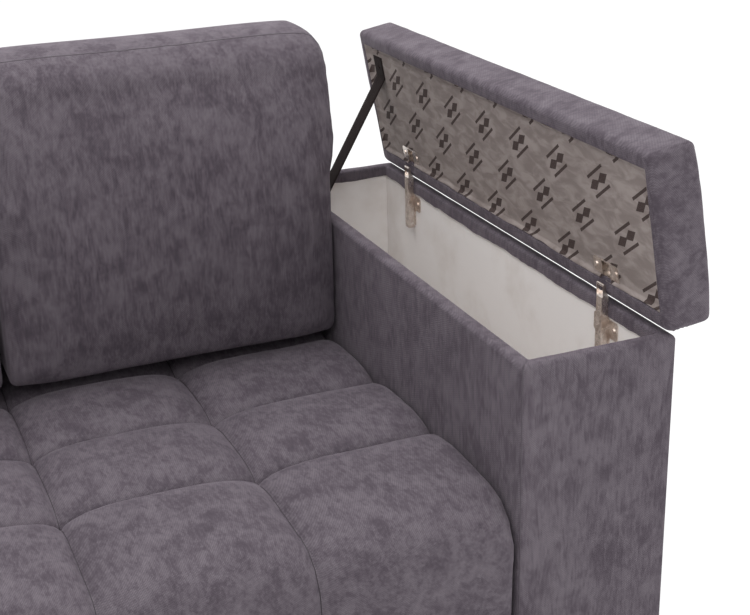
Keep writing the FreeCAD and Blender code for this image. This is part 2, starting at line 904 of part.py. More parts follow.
def centre_foot():
    # The foot under the middle post is pushed in by its own stud
    shape = Part.makeCone(foot_tip_radius, foot_radius, foot_height, vec(0, 0, 0), vec(0, 0, 1))
    return shape.fuse(cylinder(foot_stud_radius, foot_stud_length, vec(0, 0, foot_height), vec(0, 0, 1)))


def foot_screw(x, y):
    head = cylinder(foot_screw_head, foot_screw_head_height, vec(x, y, foot_counterbore - foot_screw_head_height),
                    vec(0, 0, 1))
    length = foot_height - foot_counterbore + foot_screw_bite - 2
    return head.fuse(cylinder(foot_screw_radius, length, vec(x, y, foot_counterbore), vec(0, 0, 1)))


def foot_places():
    return [(sx * foot_x(), sy * foot_y()) for sx in (-1, 1) for sy in (-1, 1)]


def build_arms():
    names = ("arm_outer_panel", "arm_inner_panel", "arm_front_panel", "arm_rear_panel", "arm_floor_panel")
    for name, shape in zip(names, arm_panels()):
        both_sides(name, shape)
    both_sides("arm_cover", arm_cover())
    both_sides("hinge_plates", group(mounting_plate(y) for y in hinge_ys))
    both_sides("hinge_arms", group(hinge_arm(y) for y in hinge_ys))
    screws = plate_screws(hinge_ys[0]) + plate_screws(hinge_ys[1])
    both_sides("hinge_plate_screws", group(screws))
    rails = arm_rails()
    save("arm_base_rails", group([rails, mirrored(rails)]))
    tack = strap_wall_tack()
    save("strap_wall_tacks", group([tack, mirrored(tack)]))
    links = group(hinge_link(y) for y in hinge_ys)
    save("hinge_links_left", mirrored(links))
    save("hinge_links_right", turned(links, link_pin, -link_ratio * lid_open_angle))
    save("strap_right", strap_open())
    save("strap_left", mirrored(strap_closed()))


def build_lids():
    pieces = {
        "lid_board": lid_board(),
        "lid_foam": lid_foam(),
        "lid_cover": lid_cover(),
        "lid_lining": lid_lining(),
        "hinge_cups": group(hinge_cup(y) for y in hinge_ys),
        "hinge_cup_screws": cup_screws(),
        "strap_lid_tack": strap_lid_tack(),
    }
    for name, shape in pieces.items():
        save(name + "_left", mirrored(shape))
        save(name + "_right", turned(shape, pivot, lid_open_angle))


def build_seat():
    save("seat_front_rail", seat_front_rail())
    save("seat_spring_rails", spring_rails())
    save("seat_side_rails", side_rails())
    save("seat_centre_rail", centre_rail())
    save("arm_bolts", arm_bolts())
    save("zigzag_springs", group(zigzag_spring(x) for x in spring_places()))
    save("spring_clips", spring_clips())
    save("deck_felt", felt())
    save("seat_foam", seat_foam())
    save("seat_pad", seat_pad())
    save("front_cover", front_cover())
    save("base_cloth", base_cloth())


def build_back():
    save("back_posts", back_posts())
    save("back_top_rail", back_top_rail())
    save("back_webbing", back_webbing())
    save("back_panel", back_panel())
    save("back_padding", back_padding())
    save("back_cover", back_cover())
    cushion = back_cushion()
    save("back_cushion_right", cushion)
    save("back_cushion_left", mirrored(cushion))


def build_feet():
    save("feet", group([foot(x, y) for x, y in foot_places()] + [centre_foot()]))
    save("foot_screws", group(foot_screw(x, y) for x, y in foot_places()))


build_arms()
build_lids()
build_seat()
build_back()
build_feet()
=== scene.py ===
"""Looks for a two-seat sofa whose armrests are lidded storage boxes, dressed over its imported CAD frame."""

from __future__ import annotations

import logging
import math
from dataclasses import dataclass, field
from enum import Enum
from typing import Callable, Sequence

import bmesh
import bpy
import numpy as np
from mathutils import Matrix, Vector, noise

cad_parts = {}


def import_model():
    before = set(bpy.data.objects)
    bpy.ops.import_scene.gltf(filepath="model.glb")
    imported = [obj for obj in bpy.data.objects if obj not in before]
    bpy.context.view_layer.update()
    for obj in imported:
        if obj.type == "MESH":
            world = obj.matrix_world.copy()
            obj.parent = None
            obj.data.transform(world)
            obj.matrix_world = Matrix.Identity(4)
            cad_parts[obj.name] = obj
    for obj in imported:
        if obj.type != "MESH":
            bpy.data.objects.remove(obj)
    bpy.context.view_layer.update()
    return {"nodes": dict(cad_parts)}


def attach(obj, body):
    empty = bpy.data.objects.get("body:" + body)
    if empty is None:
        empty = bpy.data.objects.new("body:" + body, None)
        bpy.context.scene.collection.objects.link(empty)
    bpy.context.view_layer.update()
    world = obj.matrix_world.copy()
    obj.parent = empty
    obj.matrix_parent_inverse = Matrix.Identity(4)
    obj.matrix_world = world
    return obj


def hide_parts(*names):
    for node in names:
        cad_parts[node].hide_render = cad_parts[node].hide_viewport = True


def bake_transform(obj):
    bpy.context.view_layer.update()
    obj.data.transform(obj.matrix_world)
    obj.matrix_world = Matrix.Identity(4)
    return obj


log = logging.getLogger("sofa")

# Tolerances, in metres
NEAR = 1e-6
TINY = 1e-9

# The CAD part's sizes that the covers follow, in metres
ARM_INNER = 0.536
ARM_OUTER = 0.759
HALF_DEPTH = 0.4535
RIM = 0.620
FOOT = 0.040
SEAT_HALF = 0.532
PIVOT = Vector((0.7625, 0.0, 0.6462))
LID_OPEN = math.radians(80.2)
HINGE_YS = (-0.316, 0.316)


class Side(Enum):
    """Which end of the sofa a piece belongs to, as the sign of its X."""

    RIGHT = 1
    LEFT = -1

    @property
    def word(self) -> str:
        """The side's word in node and body names."""
        return self.name.lower()


class Nap(Enum):
    """Which way the velour's brushed pile runs, as the stretch of its streaks along X, Y and Z."""

    UPRIGHT = (1.0, 1.0, 0.30)
    LENGTHWISE = (1.0, 0.45, 1.0)
    CROSSWISE = (0.5, 1.0, 0.6)


# Shader arithmetic


class Signal:
    """A shader socket that takes part in Python arithmetic by adding Math nodes to its tree."""

    def __init__(self, tree: bpy.types.NodeTree, socket: bpy.types.NodeSocket) -> None:
        """Wraps one output socket of a tree."""
        self.tree = tree
        self.socket = socket

    def _math(self, operation: str, *values: "Signal | float") -> "Signal":
        """Adds one Math node.

        Args:
            operation: the node's operation.
            values: its inputs in order, links or numbers.

        Returns:
            The node's result.
        """
        node = self.tree.nodes.new("ShaderNodeMath")
        node.operation = operation
        for index, value in enumerate(values):
            if isinstance(value, Signal):
                self.tree.links.new(value.socket, node.inputs[index])
            else:
                node.inputs[index].default_value = value
        return Signal(self.tree, node.outputs[0])

    def __add__(self, other: "Signal | float") -> "Signal":
        """self + other."""
        return self._math("ADD", self, other)

    def __sub__(self, other: "Signal | float") -> "Signal":
        """self - other."""
        return self._math("SUBTRACT", self, other)

    def __rsub__(self, other: float) -> "Signal":
        """other - self."""
        return self._math("SUBTRACT", other, self)

    def __mul__(self, other: "Signal | float") -> "Signal":
        """self * other."""
        return self._math("MULTIPLY", self, other)

    def __truediv__(self, other: "Signal | float") -> "Signal":
        """self / other."""
        return self._math("DIVIDE", self, other)

    def above(self, edge: "Signal | float") -> "Signal":
        """One where self is over edge, and zero elsewhere."""
        return self._math("GREATER_THAN", self, edge)

    def below(self, edge: "Signal | float") -> "Signal":
        """One where self is under edge, and zero elsewhere."""
        return self._math("LESS_THAN", self, edge)

    def sine(self) -> "Signal":
        """The sine of self."""
        return self._math("SINE", self)

    def size(self) -> "Signal":
        """The absolute value of self."""
        return self._math("ABSOLUTE", self)

    def fraction(self) -> "Signal":
        """What is left of self over its whole number."""
        return self._math("FRACT", self)

    def whole(self) -> "Signal":
        """The whole number at or below self."""
        return self._math("FLOOR", self)

    def ramp(self, low: float, high: float, to_low: float = 0.0, to_high: float = 1.0) -> "Signal":
        """Maps low..high smoothly onto to_low..to_high and holds it outside.

        Args:
            low: the value that gives to_low.
            high: the value that gives to_high.
            to_low: result at and under low.
            to_high: result at and over high.

        Returns:
            The mapped signal.
        """
        node = self.tree.nodes.new("ShaderNodeMapRange")
        node.interpolation_type = "SMOOTHSTEP"
        self.tree.links.new(self.socket, node.inputs["Value"])
        for name, value in zip(("From Min", "From Max", "To Min", "To Max"), (low, high, to_low, to_high)):
            node.inputs[name].default_value = value
        return Signal(self.tree, node.outputs["Result"])


class Bench:
    """One material being made: its node tree, its shader and the ways to add nodes to them."""

    def __init__(self, name: str) -> None:
        """Starts an empty material with a Principled shader.

        Args:
            name: the material's name.
        """
        self.material = bpy.data.materials.new(name)
        self.material.use_nodes = True
        self.tree = self.material.node_tree
        self.tree.nodes.clear()
        self.shader = self.tree.nodes.new("ShaderNodeBsdfPrincipled")
        self.output = self.tree.nodes.new("ShaderNodeOutputMaterial")
        self.tree.links.new(self.shader.outputs[0], self.output.inputs["Surface"])

    def node(self, kind: str, settings: dict | None = None, sockets: dict | None = None) -> bpy.types.Node:
        """Adds any node.

        Args:
            kind: the node's type name.
            settings: its properties, set first.
            sockets: values or links for its inputs, by name or index.

        Returns:
            The new node.
        """
        node = self.tree.nodes.new(kind)
        for key, value in (settings or {}).items():
            setattr(node, key, value)
        for key, value in (sockets or {}).items():
            if isinstance(value, Signal):
                self.tree.links.new(value.socket, node.inputs[key])
            else:
                node.inputs[key].default_value = value
        return node

    def out(self, node: bpy.types.Node, name: str | int = 0) -> Signal:
        """One output of a node as a signal."""
        return Signal(self.tree, node.outputs[name])

    def place(self) -> Signal:
        """Object coordinates, in metres."""
        return self.out(self.node("ShaderNodeTexCoord"), "Object")

    def uv(self) -> Signal:
        """The piece's own UV map, in metres of cloth."""
        return self.out(self.node("ShaderNodeUVMap", {"uv_map": "cloth"}), "UV")

    def axes(self, vector: Signal) -> tuple[Signal, Signal, Signal]:
        """A vector's three components."""
        split = self.node("ShaderNodeSeparateXYZ", None, {0: vector})
        return self.out(split, 0), self.out(split, 1), self.out(split, 2)

    def stretched(self, vector: Signal, scale: Sequence[float]) -> Signal:
        """A vector scaled along its axes."""
        return self.out(self.node("ShaderNodeMapping", None, {"Vector": vector, "Scale": tuple(scale)}))

    def clouds(self, vector: Signal, scale: float, detail: float = 3.0, rough: float = 0.55,
               warp: float = 0.0) -> Signal:
        """Soft noise around one half.

        Args:
            vector: where it is read.
            scale: spots per metre.
            detail: octaves.
            rough: weight of the finer octaves.
            warp: how far the noise bends itself.

        Returns:
            The noise's value.
        """
        node = self.node("ShaderNodeTexNoise", None, {
            "Vector": vector, "Scale": scale, "Detail": detail, "Roughness": rough, "Distortion": warp})
        return self.out(node, "Fac" if "Fac" in node.outputs else 0)

    def blend(self, share: Signal | float, first: Sequence[float] | Signal,
              second: Sequence[float] | Signal) -> Signal:
        """Mixes two colours by a share.

        Args:
            share: how much of the second, as a number or a signal.
            first: the colour at zero.
            second: the colour at one.

        Returns:
            The mixed colour.
        """
        node = self.node("ShaderNodeMix", {"data_type": "RGBA"})
        for index, value in ((0, share), (6, first), (7, second)):
            if isinstance(value, Signal):
                self.tree.links.new(value.socket, node.inputs[index])
            else:
                node.inputs[index].default_value = value if index == 0 else (*value, 1.0)
        return Signal(self.tree, node.outputs[2])

    def feed(self, **sockets: Signal | float | tuple) -> None:
        """Sets or links the shader's inputs.

        Args:
            sockets: values by socket name; underscores stand for the names' spaces.
        """
        for key, value in sockets.items():
            socket = self.shader.inputs[key.replace("_", " ")]
            if isinstance(value, Signal):
                self.tree.links.new(value.socket, socket)
            else:
                socket.default_value = value

    def raise_surface(self, height: Signal, distance: float, strength: float = 1.0) -> None:
        """Feeds a height, in units of distance metres, to the shader's normal through a Bump node.

        Args:
            height: the height.
            distance: metres that a height of one stands for.
            strength: how much of it shows.
        """
        bump = self.node("ShaderNodeBump", None,
                         {"Height": height, "Distance": distance, "Strength": strength})
        self.tree.links.new(bump.outputs[0], self.shader.inputs["Normal"])


def paint(red: int, green: int, blue: int) -> tuple[float, float, float]:
    """A screen colour as linear values.

    Args:
        red: its red, 0 to 255.
        green: its green.
        blue: its blue.

    Returns:
        The three linear values, 0 to 1.
    """
    def linear(value: int) -> float:
        """One channel's linear value."""
        share = value / 255
        return share / 12.92 if share <= 0.04045 else ((share + 0.055) / 1.055) ** 2.4
    return linear(red), linear(green), linear(blue)


# Finishes


@dataclass(frozen=True)
class BrushedVelour:
    """Grey velour with a purple cast: brushed streaks and clouds over a fine diagonal twill."""

    name: str
    nap: Nap = Nap.UPRIGHT
    deep: tuple[float, float, float] = field(default_factory=lambda: paint(80, 72, 80))
    mid: tuple[float, float, float] = field(default_factory=lambda: paint(98, 90, 98))
    pale: tuple[float, float, float] = field(default_factory=lambda: paint(132, 124, 131))
    twill_pitch: float = 0.0031
    patch_scale: float = 21.0
    stroke_scale: float = 95.0
    thread_scale: float = 330.0
    pile: float = 0.0009

    def make(self) -> bpy.types.Material:
        """Makes the finish.

        Returns:
            The finished material.
        """
        bench = Bench(self.name)
        here = bench.place()
        nap = self.nap.value
        patches = bench.clouds(here, self.patch_scale, 4.0, 0.62, 0.5)
        strokes = bench.clouds(bench.stretched(here, nap), self.stroke_scale, 4.0, 0.66, 0.35)
        threads = bench.clouds(bench.stretched(here, [v ** 1.6 for v in nap]), self.thread_scale, 2.0, 0.6)
        x, y, z = bench.axes(here)
        turn = 2 * math.pi / self.twill_pitch
        rib = ((x + y + z) * turn).sine() * 0.5 + ((x - y * 0.45 - z) * turn).sine() * 0.5
        shade = patches * 0.40 + strokes * 0.38 + threads * 0.22
        light = shade.ramp(0.42, 0.64)
        colour = bench.blend(shade.ramp(0.34, 0.54), self.deep, self.mid)
        colour = bench.blend(light * 0.60, colour, self.pale)
        weave = rib.ramp(-0.8, 0.8)
        colour = bench.blend(weave * -0.60 + 0.52, colour, self.deep)
        bench.feed(Base_Color=colour, Roughness=light * -0.12 + 0.86, Specular_IOR_Level=0.18,
                   Sheen_Weight=0.24, Sheen_Roughness=0.40, Sheen_Tint=(*paint(220, 208, 220), 1.0))
        bench.raise_surface(weave * 0.40 + strokes * 0.6 + patches, self.pile, 0.6)
        return bench.material


@dataclass(frozen=True)
class PaleLaminate:
    """Nearly white laminated board with a faint grain and a soft shine."""

    name: str = "pale_laminate"
    face: tuple[float, float, float] = field(default_factory=lambda: paint(250, 246, 244))
    worn: tuple[float, float, float] = field(default_factory=lambda: paint(238, 232, 228))

    def make(self) -> bpy.types.Material:
        """Makes the finish.

        Returns:
            The finished material.
        """
        bench = Bench(self.name)
        here = bench.place()
        marks = bench.clouds(here, 9.0, 4.0, 0.6)
        grain = bench.clouds(bench.stretched(here, (1.0, 1.0, 0.08)), 420.0, 2.0)
        bench.feed(Base_Color=bench.blend(marks.ramp(0.42, 0.72), self.face, self.worn),
                   Roughness=marks * 0.14 + 0.33, Specular_IOR_Level=0.4)
        bench.raise_surface(grain, 0.0002, 0.35)
        return bench.material


@dataclass(frozen=True)
class BrightNickel:
    """Pressed steel with a nickel plate, lightly drawn and smudged."""

    name: str = "bright_nickel"
    metal: tuple[float, float, float] = field(default_factory=lambda: paint(226, 217, 210))
    smudge: tuple[float, float, float] = field(default_factory=lambda: paint(196, 182, 172))

    def make(self) -> bpy.types.Material:
        """Makes the finish.

        Returns:
            The finished material.
        """
        bench = Bench(self.name)
        here = bench.place()
        smears = bench.clouds(here, 95.0, 4.0, 0.6, 0.5)
        drawn = bench.clouds(bench.stretched(here, (1.0, 1.0, 0.05)), 1500.0, 2.0)
        bench.feed(Base_Color=bench.blend(smears.ramp(0.4, 0.68), self.metal, self.smudge), Metallic=1.0,
                   Roughness=smears * 0.16 + 0.20)
        bench.raise_surface(drawn, 0.00005, 0.35)
        return bench.material


@dataclass(frozen=True)
class PrintedLining:
    """Thin taupe cotton printed with a plain motif of leaf pairs and short bars, in staggered rows."""

    name: str = "printed_lining"
    cloth: tuple[float, float, float] = field(default_factory=lambda: paint(172, 161, 157))
    # Painted shade: the colour the lining takes in the hollows of its creases
    shade: tuple[float, float, float] = field(default_factory=lambda: paint(146, 135, 131))
    ink: tuple[float, float, float] = field(default_factory=lambda: paint(66, 52, 50))
    row: float = 0.064
    column: float = 0.108
    lean: tuple[float, float] = (0.82, 0.57)
    leaf_centre: float = 0.013
    leaf_width: float = 0.0086
    bar_half: float = 0.024
    bar_away: float = 0.0145
    bar_width: float = 0.0022
    thread_pitch: float = 0.0009

    def make(self) -> bpy.types.Material:
        """Makes the finish.

        Returns:
            The finished material.
        """
        bench = Bench(self.name)
        cloth = bench.uv()
        along, across, _ = bench.axes(cloth)
        rows = across / self.row
        odd = (rows.whole() * 0.5).fraction() * 2.0
        columns = along / self.column + odd * 0.5
        u = (columns.fraction() - 0.5) * self.column
        v = (rows.fraction() - 0.5) * self.row
        cosine, sine = self.lean
        a = u * cosine + v * sine
        b = v * cosine - u * sine
        leaf = ((a - self.leaf_centre).size() * 0.55 + b.size() * 1.1).below(self.leaf_width)
        twin = ((a + self.leaf_centre).size() * 0.55 + b.size() * 1.1).below(self.leaf_width)
        bar = a.size().below(self.bar_half) * (b.size() - self.bar_away).size().below(self.bar_width)
        motif = (leaf + twin + bar).above(0.5)
        creases = bench.clouds(bench.stretched(cloth, (1.0, 2.2, 1.0)), 26.0, 3.0, 0.55, 0.6)
        turn = 2 * math.pi / self.thread_pitch
        threads = (along * turn).sine() + (across * turn).sine()
        worn = bench.clouds(cloth, 700.0, 2.0)
        # Painted shade: the ground darkens to the shade colour where the creases' bump is lowest
        ground = bench.blend(creases.ramp(0.36, 0.66), self.shade, self.cloth)
        colour = bench.blend(motif * worn.ramp(0.25, 0.5, 0.72, 0.95), ground, self.ink)
        bench.feed(Base_Color=colour, Roughness=0.82, Specular_IOR_Level=0.25)
        bench.raise_surface(creases + threads * 0.03, 0.0022, 0.7)
        return bench.material


@dataclass(frozen=True)
class WovenStrap:
    """Dark brown narrow webbing with crosswise ribs and sewn edges."""

    name: str = "woven_strap"
    yarn: tuple[float, float, float] = field(default_factory=lambda: paint(30, 23, 23))
    ridge: tuple[float, float, float] = field(default_factory=lambda: paint(56, 45, 44))
    rib_pitch: float = 0.0024
    yarn_pitch: float = 0.0018

    def make(self) -> bpy.types.Material:
        """Makes the finish.

        Returns:
            The finished material.
        """
        bench = Bench(self.name)
        cloth = bench.uv()
        along, across, _ = bench.axes(cloth)
        ribs = (along * (2 * math.pi / self.rib_pitch)).sine()
        yarns = (across * (2 * math.pi / self.yarn_pitch)).sine()
        weave = (ribs * 0.6 + yarns * 0.4).ramp(-0.8, 0.9)
        fuzz = bench.clouds(cloth, 900.0, 2.0)
        bench.feed(Base_Color=bench.blend(weave * fuzz, self.yarn, self.ridge), Roughness=0.78,
                   Specular_IOR_Level=0.12)
        bench.raise_surface(weave, 0.0006, 0.8)
        return bench.material


@dataclass(frozen=True)
class SewingThread:
    """Thin twisted polyester thread."""

    name: str = "sewing_thread"
    colour: tuple[float, float, float] = field(default_factory=lambda: paint(70, 63, 70))

    def make(self) -> bpy.types.Material:
        """Makes the finish.

        Returns:
            The finished material.
        """
        bench = Bench(self.name)
        twist = bench.clouds(bench.place(), 1800.0, 1.0)
        lit = tuple(min(value * 1.7, 1.0) for value in self.colour)
        bench.feed(Base_Color=bench.blend(twist, self.colour, lit), Roughness=0.55)
        return bench.material


@dataclass(frozen=True)
class PlainStock:
    """A hidden or minor stock such as timber, foam, felt, plastic or wire, with its own grain."""

    name: str
    dark: tuple[float, float, float]
    light: tuple[float, float, float]
    grain: tuple[float, float, float] = (1.0, 1.0, 1.0)
    spots: float = 60.0
    rough: float = 0.7
    metal: float = 0.0
    relief: float = 0.0004

    def make(self) -> bpy.types.Material:
        """Makes the finish.

        Returns:
            The finished material.
        """
        bench = Bench(self.name)
        figure = bench.clouds(bench.stretched(bench.place(), self.grain), self.spots, 4.0, 0.6, 0.4)
        bench.feed(Base_Color=bench.blend(figure.ramp(0.3, 0.7), self.dark, self.light),
                   Roughness=figure * 0.15 + (self.rough - 0.07), Metallic=self.metal)
        bench.raise_surface(figure, self.relief, 0.6)
        return bench.material


class Wardrobe:
    """Every finish of the sofa, made once and handed out by name."""

    def __init__(self) -> None:
        """Makes all finishes."""
        self.upright = BrushedVelour("velour_upright").make()
        self.seat = BrushedVelour("velour_seat", Nap.LENGTHWISE).make()
        self.lid = BrushedVelour("velour_lid", Nap.CROSSWISE).make()
        self.laminate = PaleLaminate().make()
        self.nickel = BrightNickel().make()
        self.lining = PrintedLining().make()
        self.strap = WovenStrap().make()
        self.thread = SewingThread().make()
        # Near-black cords for the seat's seam grooves: painted shade of the grooves, darker than the thread
        self.seam_groove_shade = SewingThread("painted_seam_groove_shade", paint(38, 32, 38)).make()
        self.timber = PlainStock("raw_timber", paint(176, 140, 96), paint(214, 184, 140), (1, 0.06, 1),
                                 spots=90).make()
        self.foam = PlainStock("pale_foam", paint(214, 204, 170), paint(236, 230, 204), spots=700,
                               rough=0.9).make()
        self.felt = PlainStock("dust_cloth", paint(40, 40, 43), paint(66, 66, 70), spots=500,
                               rough=0.95).make()
        self.plastic = PlainStock("black_plastic", paint(24, 24, 25), paint(38, 38, 40), spots=900,
                                  rough=0.45).make()
        self.zinc = PlainStock("zinc_plate", paint(150, 152, 156), paint(190, 192, 196), spots=200,
                               rough=0.35, metal=1.0, relief=0.0001).make()
        self.wire = PlainStock("oiled_wire", paint(70, 70, 72), paint(110, 110, 112), spots=300,
                               rough=0.4, metal=1.0, relief=0.0001).make()
        self.hardboard = PlainStock("hardboard", paint(96, 66, 42), paint(126, 92, 60), spots=500).make()

    def dress_frame(self, nodes: dict[str, bpy.types.Object]) -> None:
        """Gives every carried-over CAD node its finish.

        Args:
            nodes: the frame's objects by node name.
        """
        rules: list[tuple[tuple[str, ...], bpy.types.Material]] = [
            (("arm_outer", "arm_inner", "arm_front", "arm_rear", "arm_floor"), self.laminate),
            (("hinge_plate", "hinge_arm", "hinge_link", "hinge_cup"), self.nickel),
            (("lid_board", "arm_base_rails", "seat_front", "seat_spring", "seat_side", "seat_centre",
              "back_posts", "back_top"), self.timber),
            (("lid_foam", "seat_foam", "back_padding"), self.foam),
            (("deck_felt", "base_cloth"), self.felt),
            (("feet",), self.plastic),
            (("foot_screws", "arm_bolts"), self.zinc),
            (("zigzag", "spring_clips"), self.wire),
            (("back_webbing", "strap"), self.strap),
            (("back_panel",), self.hardboard),
        ]
        for name, node in nodes.items():
            for starts, finish in rules:
                if name.startswith(starts):
                    node.data.materials.clear()
                    node.data.materials.append(finish)


# Mesh making


def smooth(value: float | np.ndarray, low: float, high: float) -> float | np.ndarray:
    """Zero at low, one at high, and a smooth step between."""
    share = np.clip((value - low) / (high - low), 0.0, 1.0)
    return share * share * (3 - 2 * share)


def ripple(points: np.ndarray, scale: float, seed: float = 0.0) -> np.ndarray:
    """Smooth noise from -1 to 1 at each point.

    Args:
        points: N by 3 places in metres.
        scale: waves per metre.
        seed: shifts the field.

    Returns:
        N values.
    """
    shift = Vector((seed * 7.3, seed * 3.1, seed * 5.7))
    return np.array([noise.noise(Vector(point) * scale + shift) for point in points])


def mesh_object(name: str, points: np.ndarray, faces: Sequence[Sequence[int]], flip: bool = False,
                uv: np.ndarray | None = None) -> bpy.types.Object:
    """Makes a smooth-shaded mesh object at the origin.

    Args:
        name: the piece's name.
        points: N by 3 places.
        faces: vertex numbers of each face, turning outwards.
        flip: whether to turn every face round, for mirrored pieces.
        uv: optional N by 2 cloth coordinates.

    Returns:
        The linked object.
    """
    mesh = bpy.data.meshes.new(name)
    order = [tuple(reversed(face)) for face in faces] if flip else [tuple(face) for face in faces]
    mesh.from_pydata([tuple(point) for point in points], [], order)
    mesh.polygons.foreach_set("use_smooth", [True] * len(mesh.polygons))
    if uv is not None:
        layer = mesh.uv_layers.new(name="cloth")
        corners = np.zeros(len(mesh.loops), dtype=np.int64)
        mesh.loops.foreach_get("vertex_index", corners)
        layer.data.foreach_set("uv", uv[corners].astype(np.float32).ravel())
    mesh.update()
    piece = bpy.data.objects.new(name, mesh)
    bpy.context.collection.objects.link(piece)
    return piece


def recalculated(piece: bpy.types.Object, weld: float = 1e-6) -> bpy.types.Object:
    """Merges doubles and points every face outwards.

    Args:
        piece: the mesh object.
        weld: how close two points are merged.

    Returns:
        The same piece.
    """
    work = bmesh.new()
    work.from_mesh(piece.data)
    bmesh.ops.remove_doubles(work, verts=work.verts, dist=weld)
    bmesh.ops.recalc_face_normals(work, faces=work.faces)
    work.to_mesh(piece.data)
    work.free()
    piece.data.update()
    return piece


def baked(piece: bpy.types.Object) -> bpy.types.Object:
    """Applies every modifier of a piece to its mesh.

    Args:
        piece: the mesh object.

    Returns:
        The same piece.
    """
    graph = bpy.context.evaluated_depsgraph_get()
    mesh = bpy.data.meshes.new_from_object(piece.evaluated_get(graph), depsgraph=graph)
    mesh.name = piece.name
    piece.modifiers.clear()
    piece.data = mesh
    mesh.polygons.foreach_set("use_smooth", [True] * len(mesh.polygons))
    return piece


def thin_cloth(piece: bpy.types.Object, thickness: float, offset: float) -> bpy.types.Object:
    """Drops the points that no face uses and gives an open surface the cloth's thickness.

    Args:
        piece: the surface's mesh object.
        thickness: the cloth's thickness.
        offset: minus one to lay it inside the surface, one to lay it outside.

    Returns:
        The same piece.
    """
    work = bmesh.new()
    work.from_mesh(piece.data)
    bmesh.ops.delete(work, geom=[vertex for vertex in work.verts if not vertex.link_faces], context="VERTS")
    work.to_mesh(piece.data)
    work.free()
    shell = piece.modifiers.new("cloth", "SOLIDIFY")
    shell.thickness = thickness
    shell.offset = offset
    return baked(piece)


def vectors_of(mesh: bpy.types.Mesh, kind: str = "co") -> np.ndarray:
    """One vector of each vertex of a mesh.

    Args:
        mesh: the mesh.
        kind: "co" for the places, "normal" for the normals.

    Returns:
        N by 3 values.
    """
    values = np.zeros(len(mesh.vertices) * 3)
    mesh.vertices.foreach_get(kind, values)
    return values.reshape(-1, 3)


def ring_faces(rows: int, count: int, joined: bool = False) -> list[tuple[int, ...]]:
    """The quads between rings of points that follow each other.

    Args:
        rows: how many rings.
        count: points in each ring.
        joined: whether the last ring meets the first.

    Returns:
        Vertex numbers of each face.
    """
    faces = []
    for row in range(rows if joined else rows - 1):
        below, above = row * count, (row + 1) % rows * count
        for step in range(count):
            after = (step + 1) % count
            faces.append((below + step, below + after, above + after, above + step))
    return faces


def grid_faces(rows: int, columns: int, first: int = 0, turned: bool = False) -> list[tuple[int, ...]]:
    """The quads of a grid of points.

    Args:
        rows: how many rows.
        columns: points in each row.
        first: number of the first point.
        turned: whether the faces turn the other way.

    Returns:
        Vertex numbers of each face.
    """
    faces = []
    for row in range(rows - 1):
        for column in range(columns - 1):
            a = first + row * columns + column
            b, c, d = a + 1, a + columns + 1, a + columns
            faces.append((a, d, c, b) if turned else (a, b, c, d))
    return faces


def lines(low: float, high: float, step: float, edge: float, fine: float,
          extra: Sequence[tuple[float, float, float]] = ()) -> np.ndarray:
    """Grid lines between two ends, finer near them and wherever extra asks.

    Args:
        low: first line.
        high: last line.
        step: usual spacing.
        edge: width of the fine band at each end.
        fine: spacing in the fine bands.
        extra: more fine bands as (from, to, spacing).

    Returns:
        The sorted places.
    """
    bands = [(low, low + edge, fine), (high - edge, high, fine), *extra]
    places = [low]
    while places[-1] < high - TINY:
        here = places[-1]
        stride = step
        for start, end, spacing in bands:
            if start - TINY <= here < end - TINY:
                stride = min(stride, spacing)
            elif here < start < here + stride:
                stride = min(stride, max(start - here, fine * 0.4))
        places.append(min(here + stride, high))
    return np.array(places)


class BlockGrid:
    """The surface of a box as six joined grids, for pieces that are rounded, crowned and dented from it."""

    def __init__(self, xs: np.ndarray, ys: np.ndarray, zs: np.ndarray) -> None:
        """Lays the grids.

        Args:
            xs: grid lines along X, from one face to the other.
            ys: grid lines along Y.
            zs: grid lines along Z.
        """
        self.axes = (xs, ys, zs)
        counts = (len(xs), len(ys), len(zs))
        numbers: dict[tuple[int, int, int], int] = {}
        places: list[tuple[float, float, float]] = []
        self.faces: list[tuple[int, int, int, int]] = []

        def number(i: int, j: int, k: int) -> int:
            """The vertex at three line numbers, made when first asked for.

            Args:
                i: line number along X.
                j: line number along Y.
                k: line number along Z.

            Returns:
                The vertex number.
            """
            key = (i, j, k)
            if key not in numbers:
                numbers[key] = len(places)
                places.append((xs[i], ys[j], zs[k]))
            return numbers[key]

        def side(axis: int, end: int) -> None:
            """Lays one face of the box, turned outwards.

            Args:
                axis: the axis that it stands across.
                end: 0 for its low end, 1 for its high end.
            """
            first, second = [a for a in range(3) if a != axis]
            fixed = counts[axis] - 1 if end else 0
            turn = (end == 1) == (axis != 1)
            for a in range(counts[first] - 1):
                for b in range(counts[second] - 1):
                    ring = []
                    for da, db in ((0, 0), (1, 0), (1, 1), (0, 1)):
                        index = [0, 0, 0]
                        index[axis], index[first], index[second] = fixed, a + da, b + db
                        ring.append(number(*index))
                    self.faces.append(tuple(ring if turn else ring[::-1]))

        for axis in range(3):
            side(axis, 0)
            side(axis, 1)
        self.box_points = np.array(places)

    def rounded(self, radius: Callable[[np.ndarray], np.ndarray] | float) -> np.ndarray:
        """The points moved onto a box with rounded edges.

        Args:
            radius: one radius, or a function of the box points that gives one for each.

        Returns:
            N by 3 places.
        """
        points = self.box_points
        size = radius(points) if callable(radius) else np.full(len(points), radius)
        low = np.array([axis[0] for axis in self.axes])
        high = np.array([axis[-1] for axis in self.axes])
        inner = np.clip(points, low + size[:, None], high - size[:, None])
        out = points - inner
        reach = np.where(np.linalg.norm(out, axis=1) > TINY, size, 0.0)
        # Spread the turn evenly over the band, so that its quads stay even
        unit = out / np.maximum(np.abs(out).max(axis=1), TINY)[:, None]
        bent = np.tan(np.clip(unit, -1, 1) * math.pi / 4)
        bent_length = np.linalg.norm(bent, axis=1)
        bent_length[bent_length < TINY] = 1.0
        return inner + bent / bent_length[:, None] * reach[:, None]


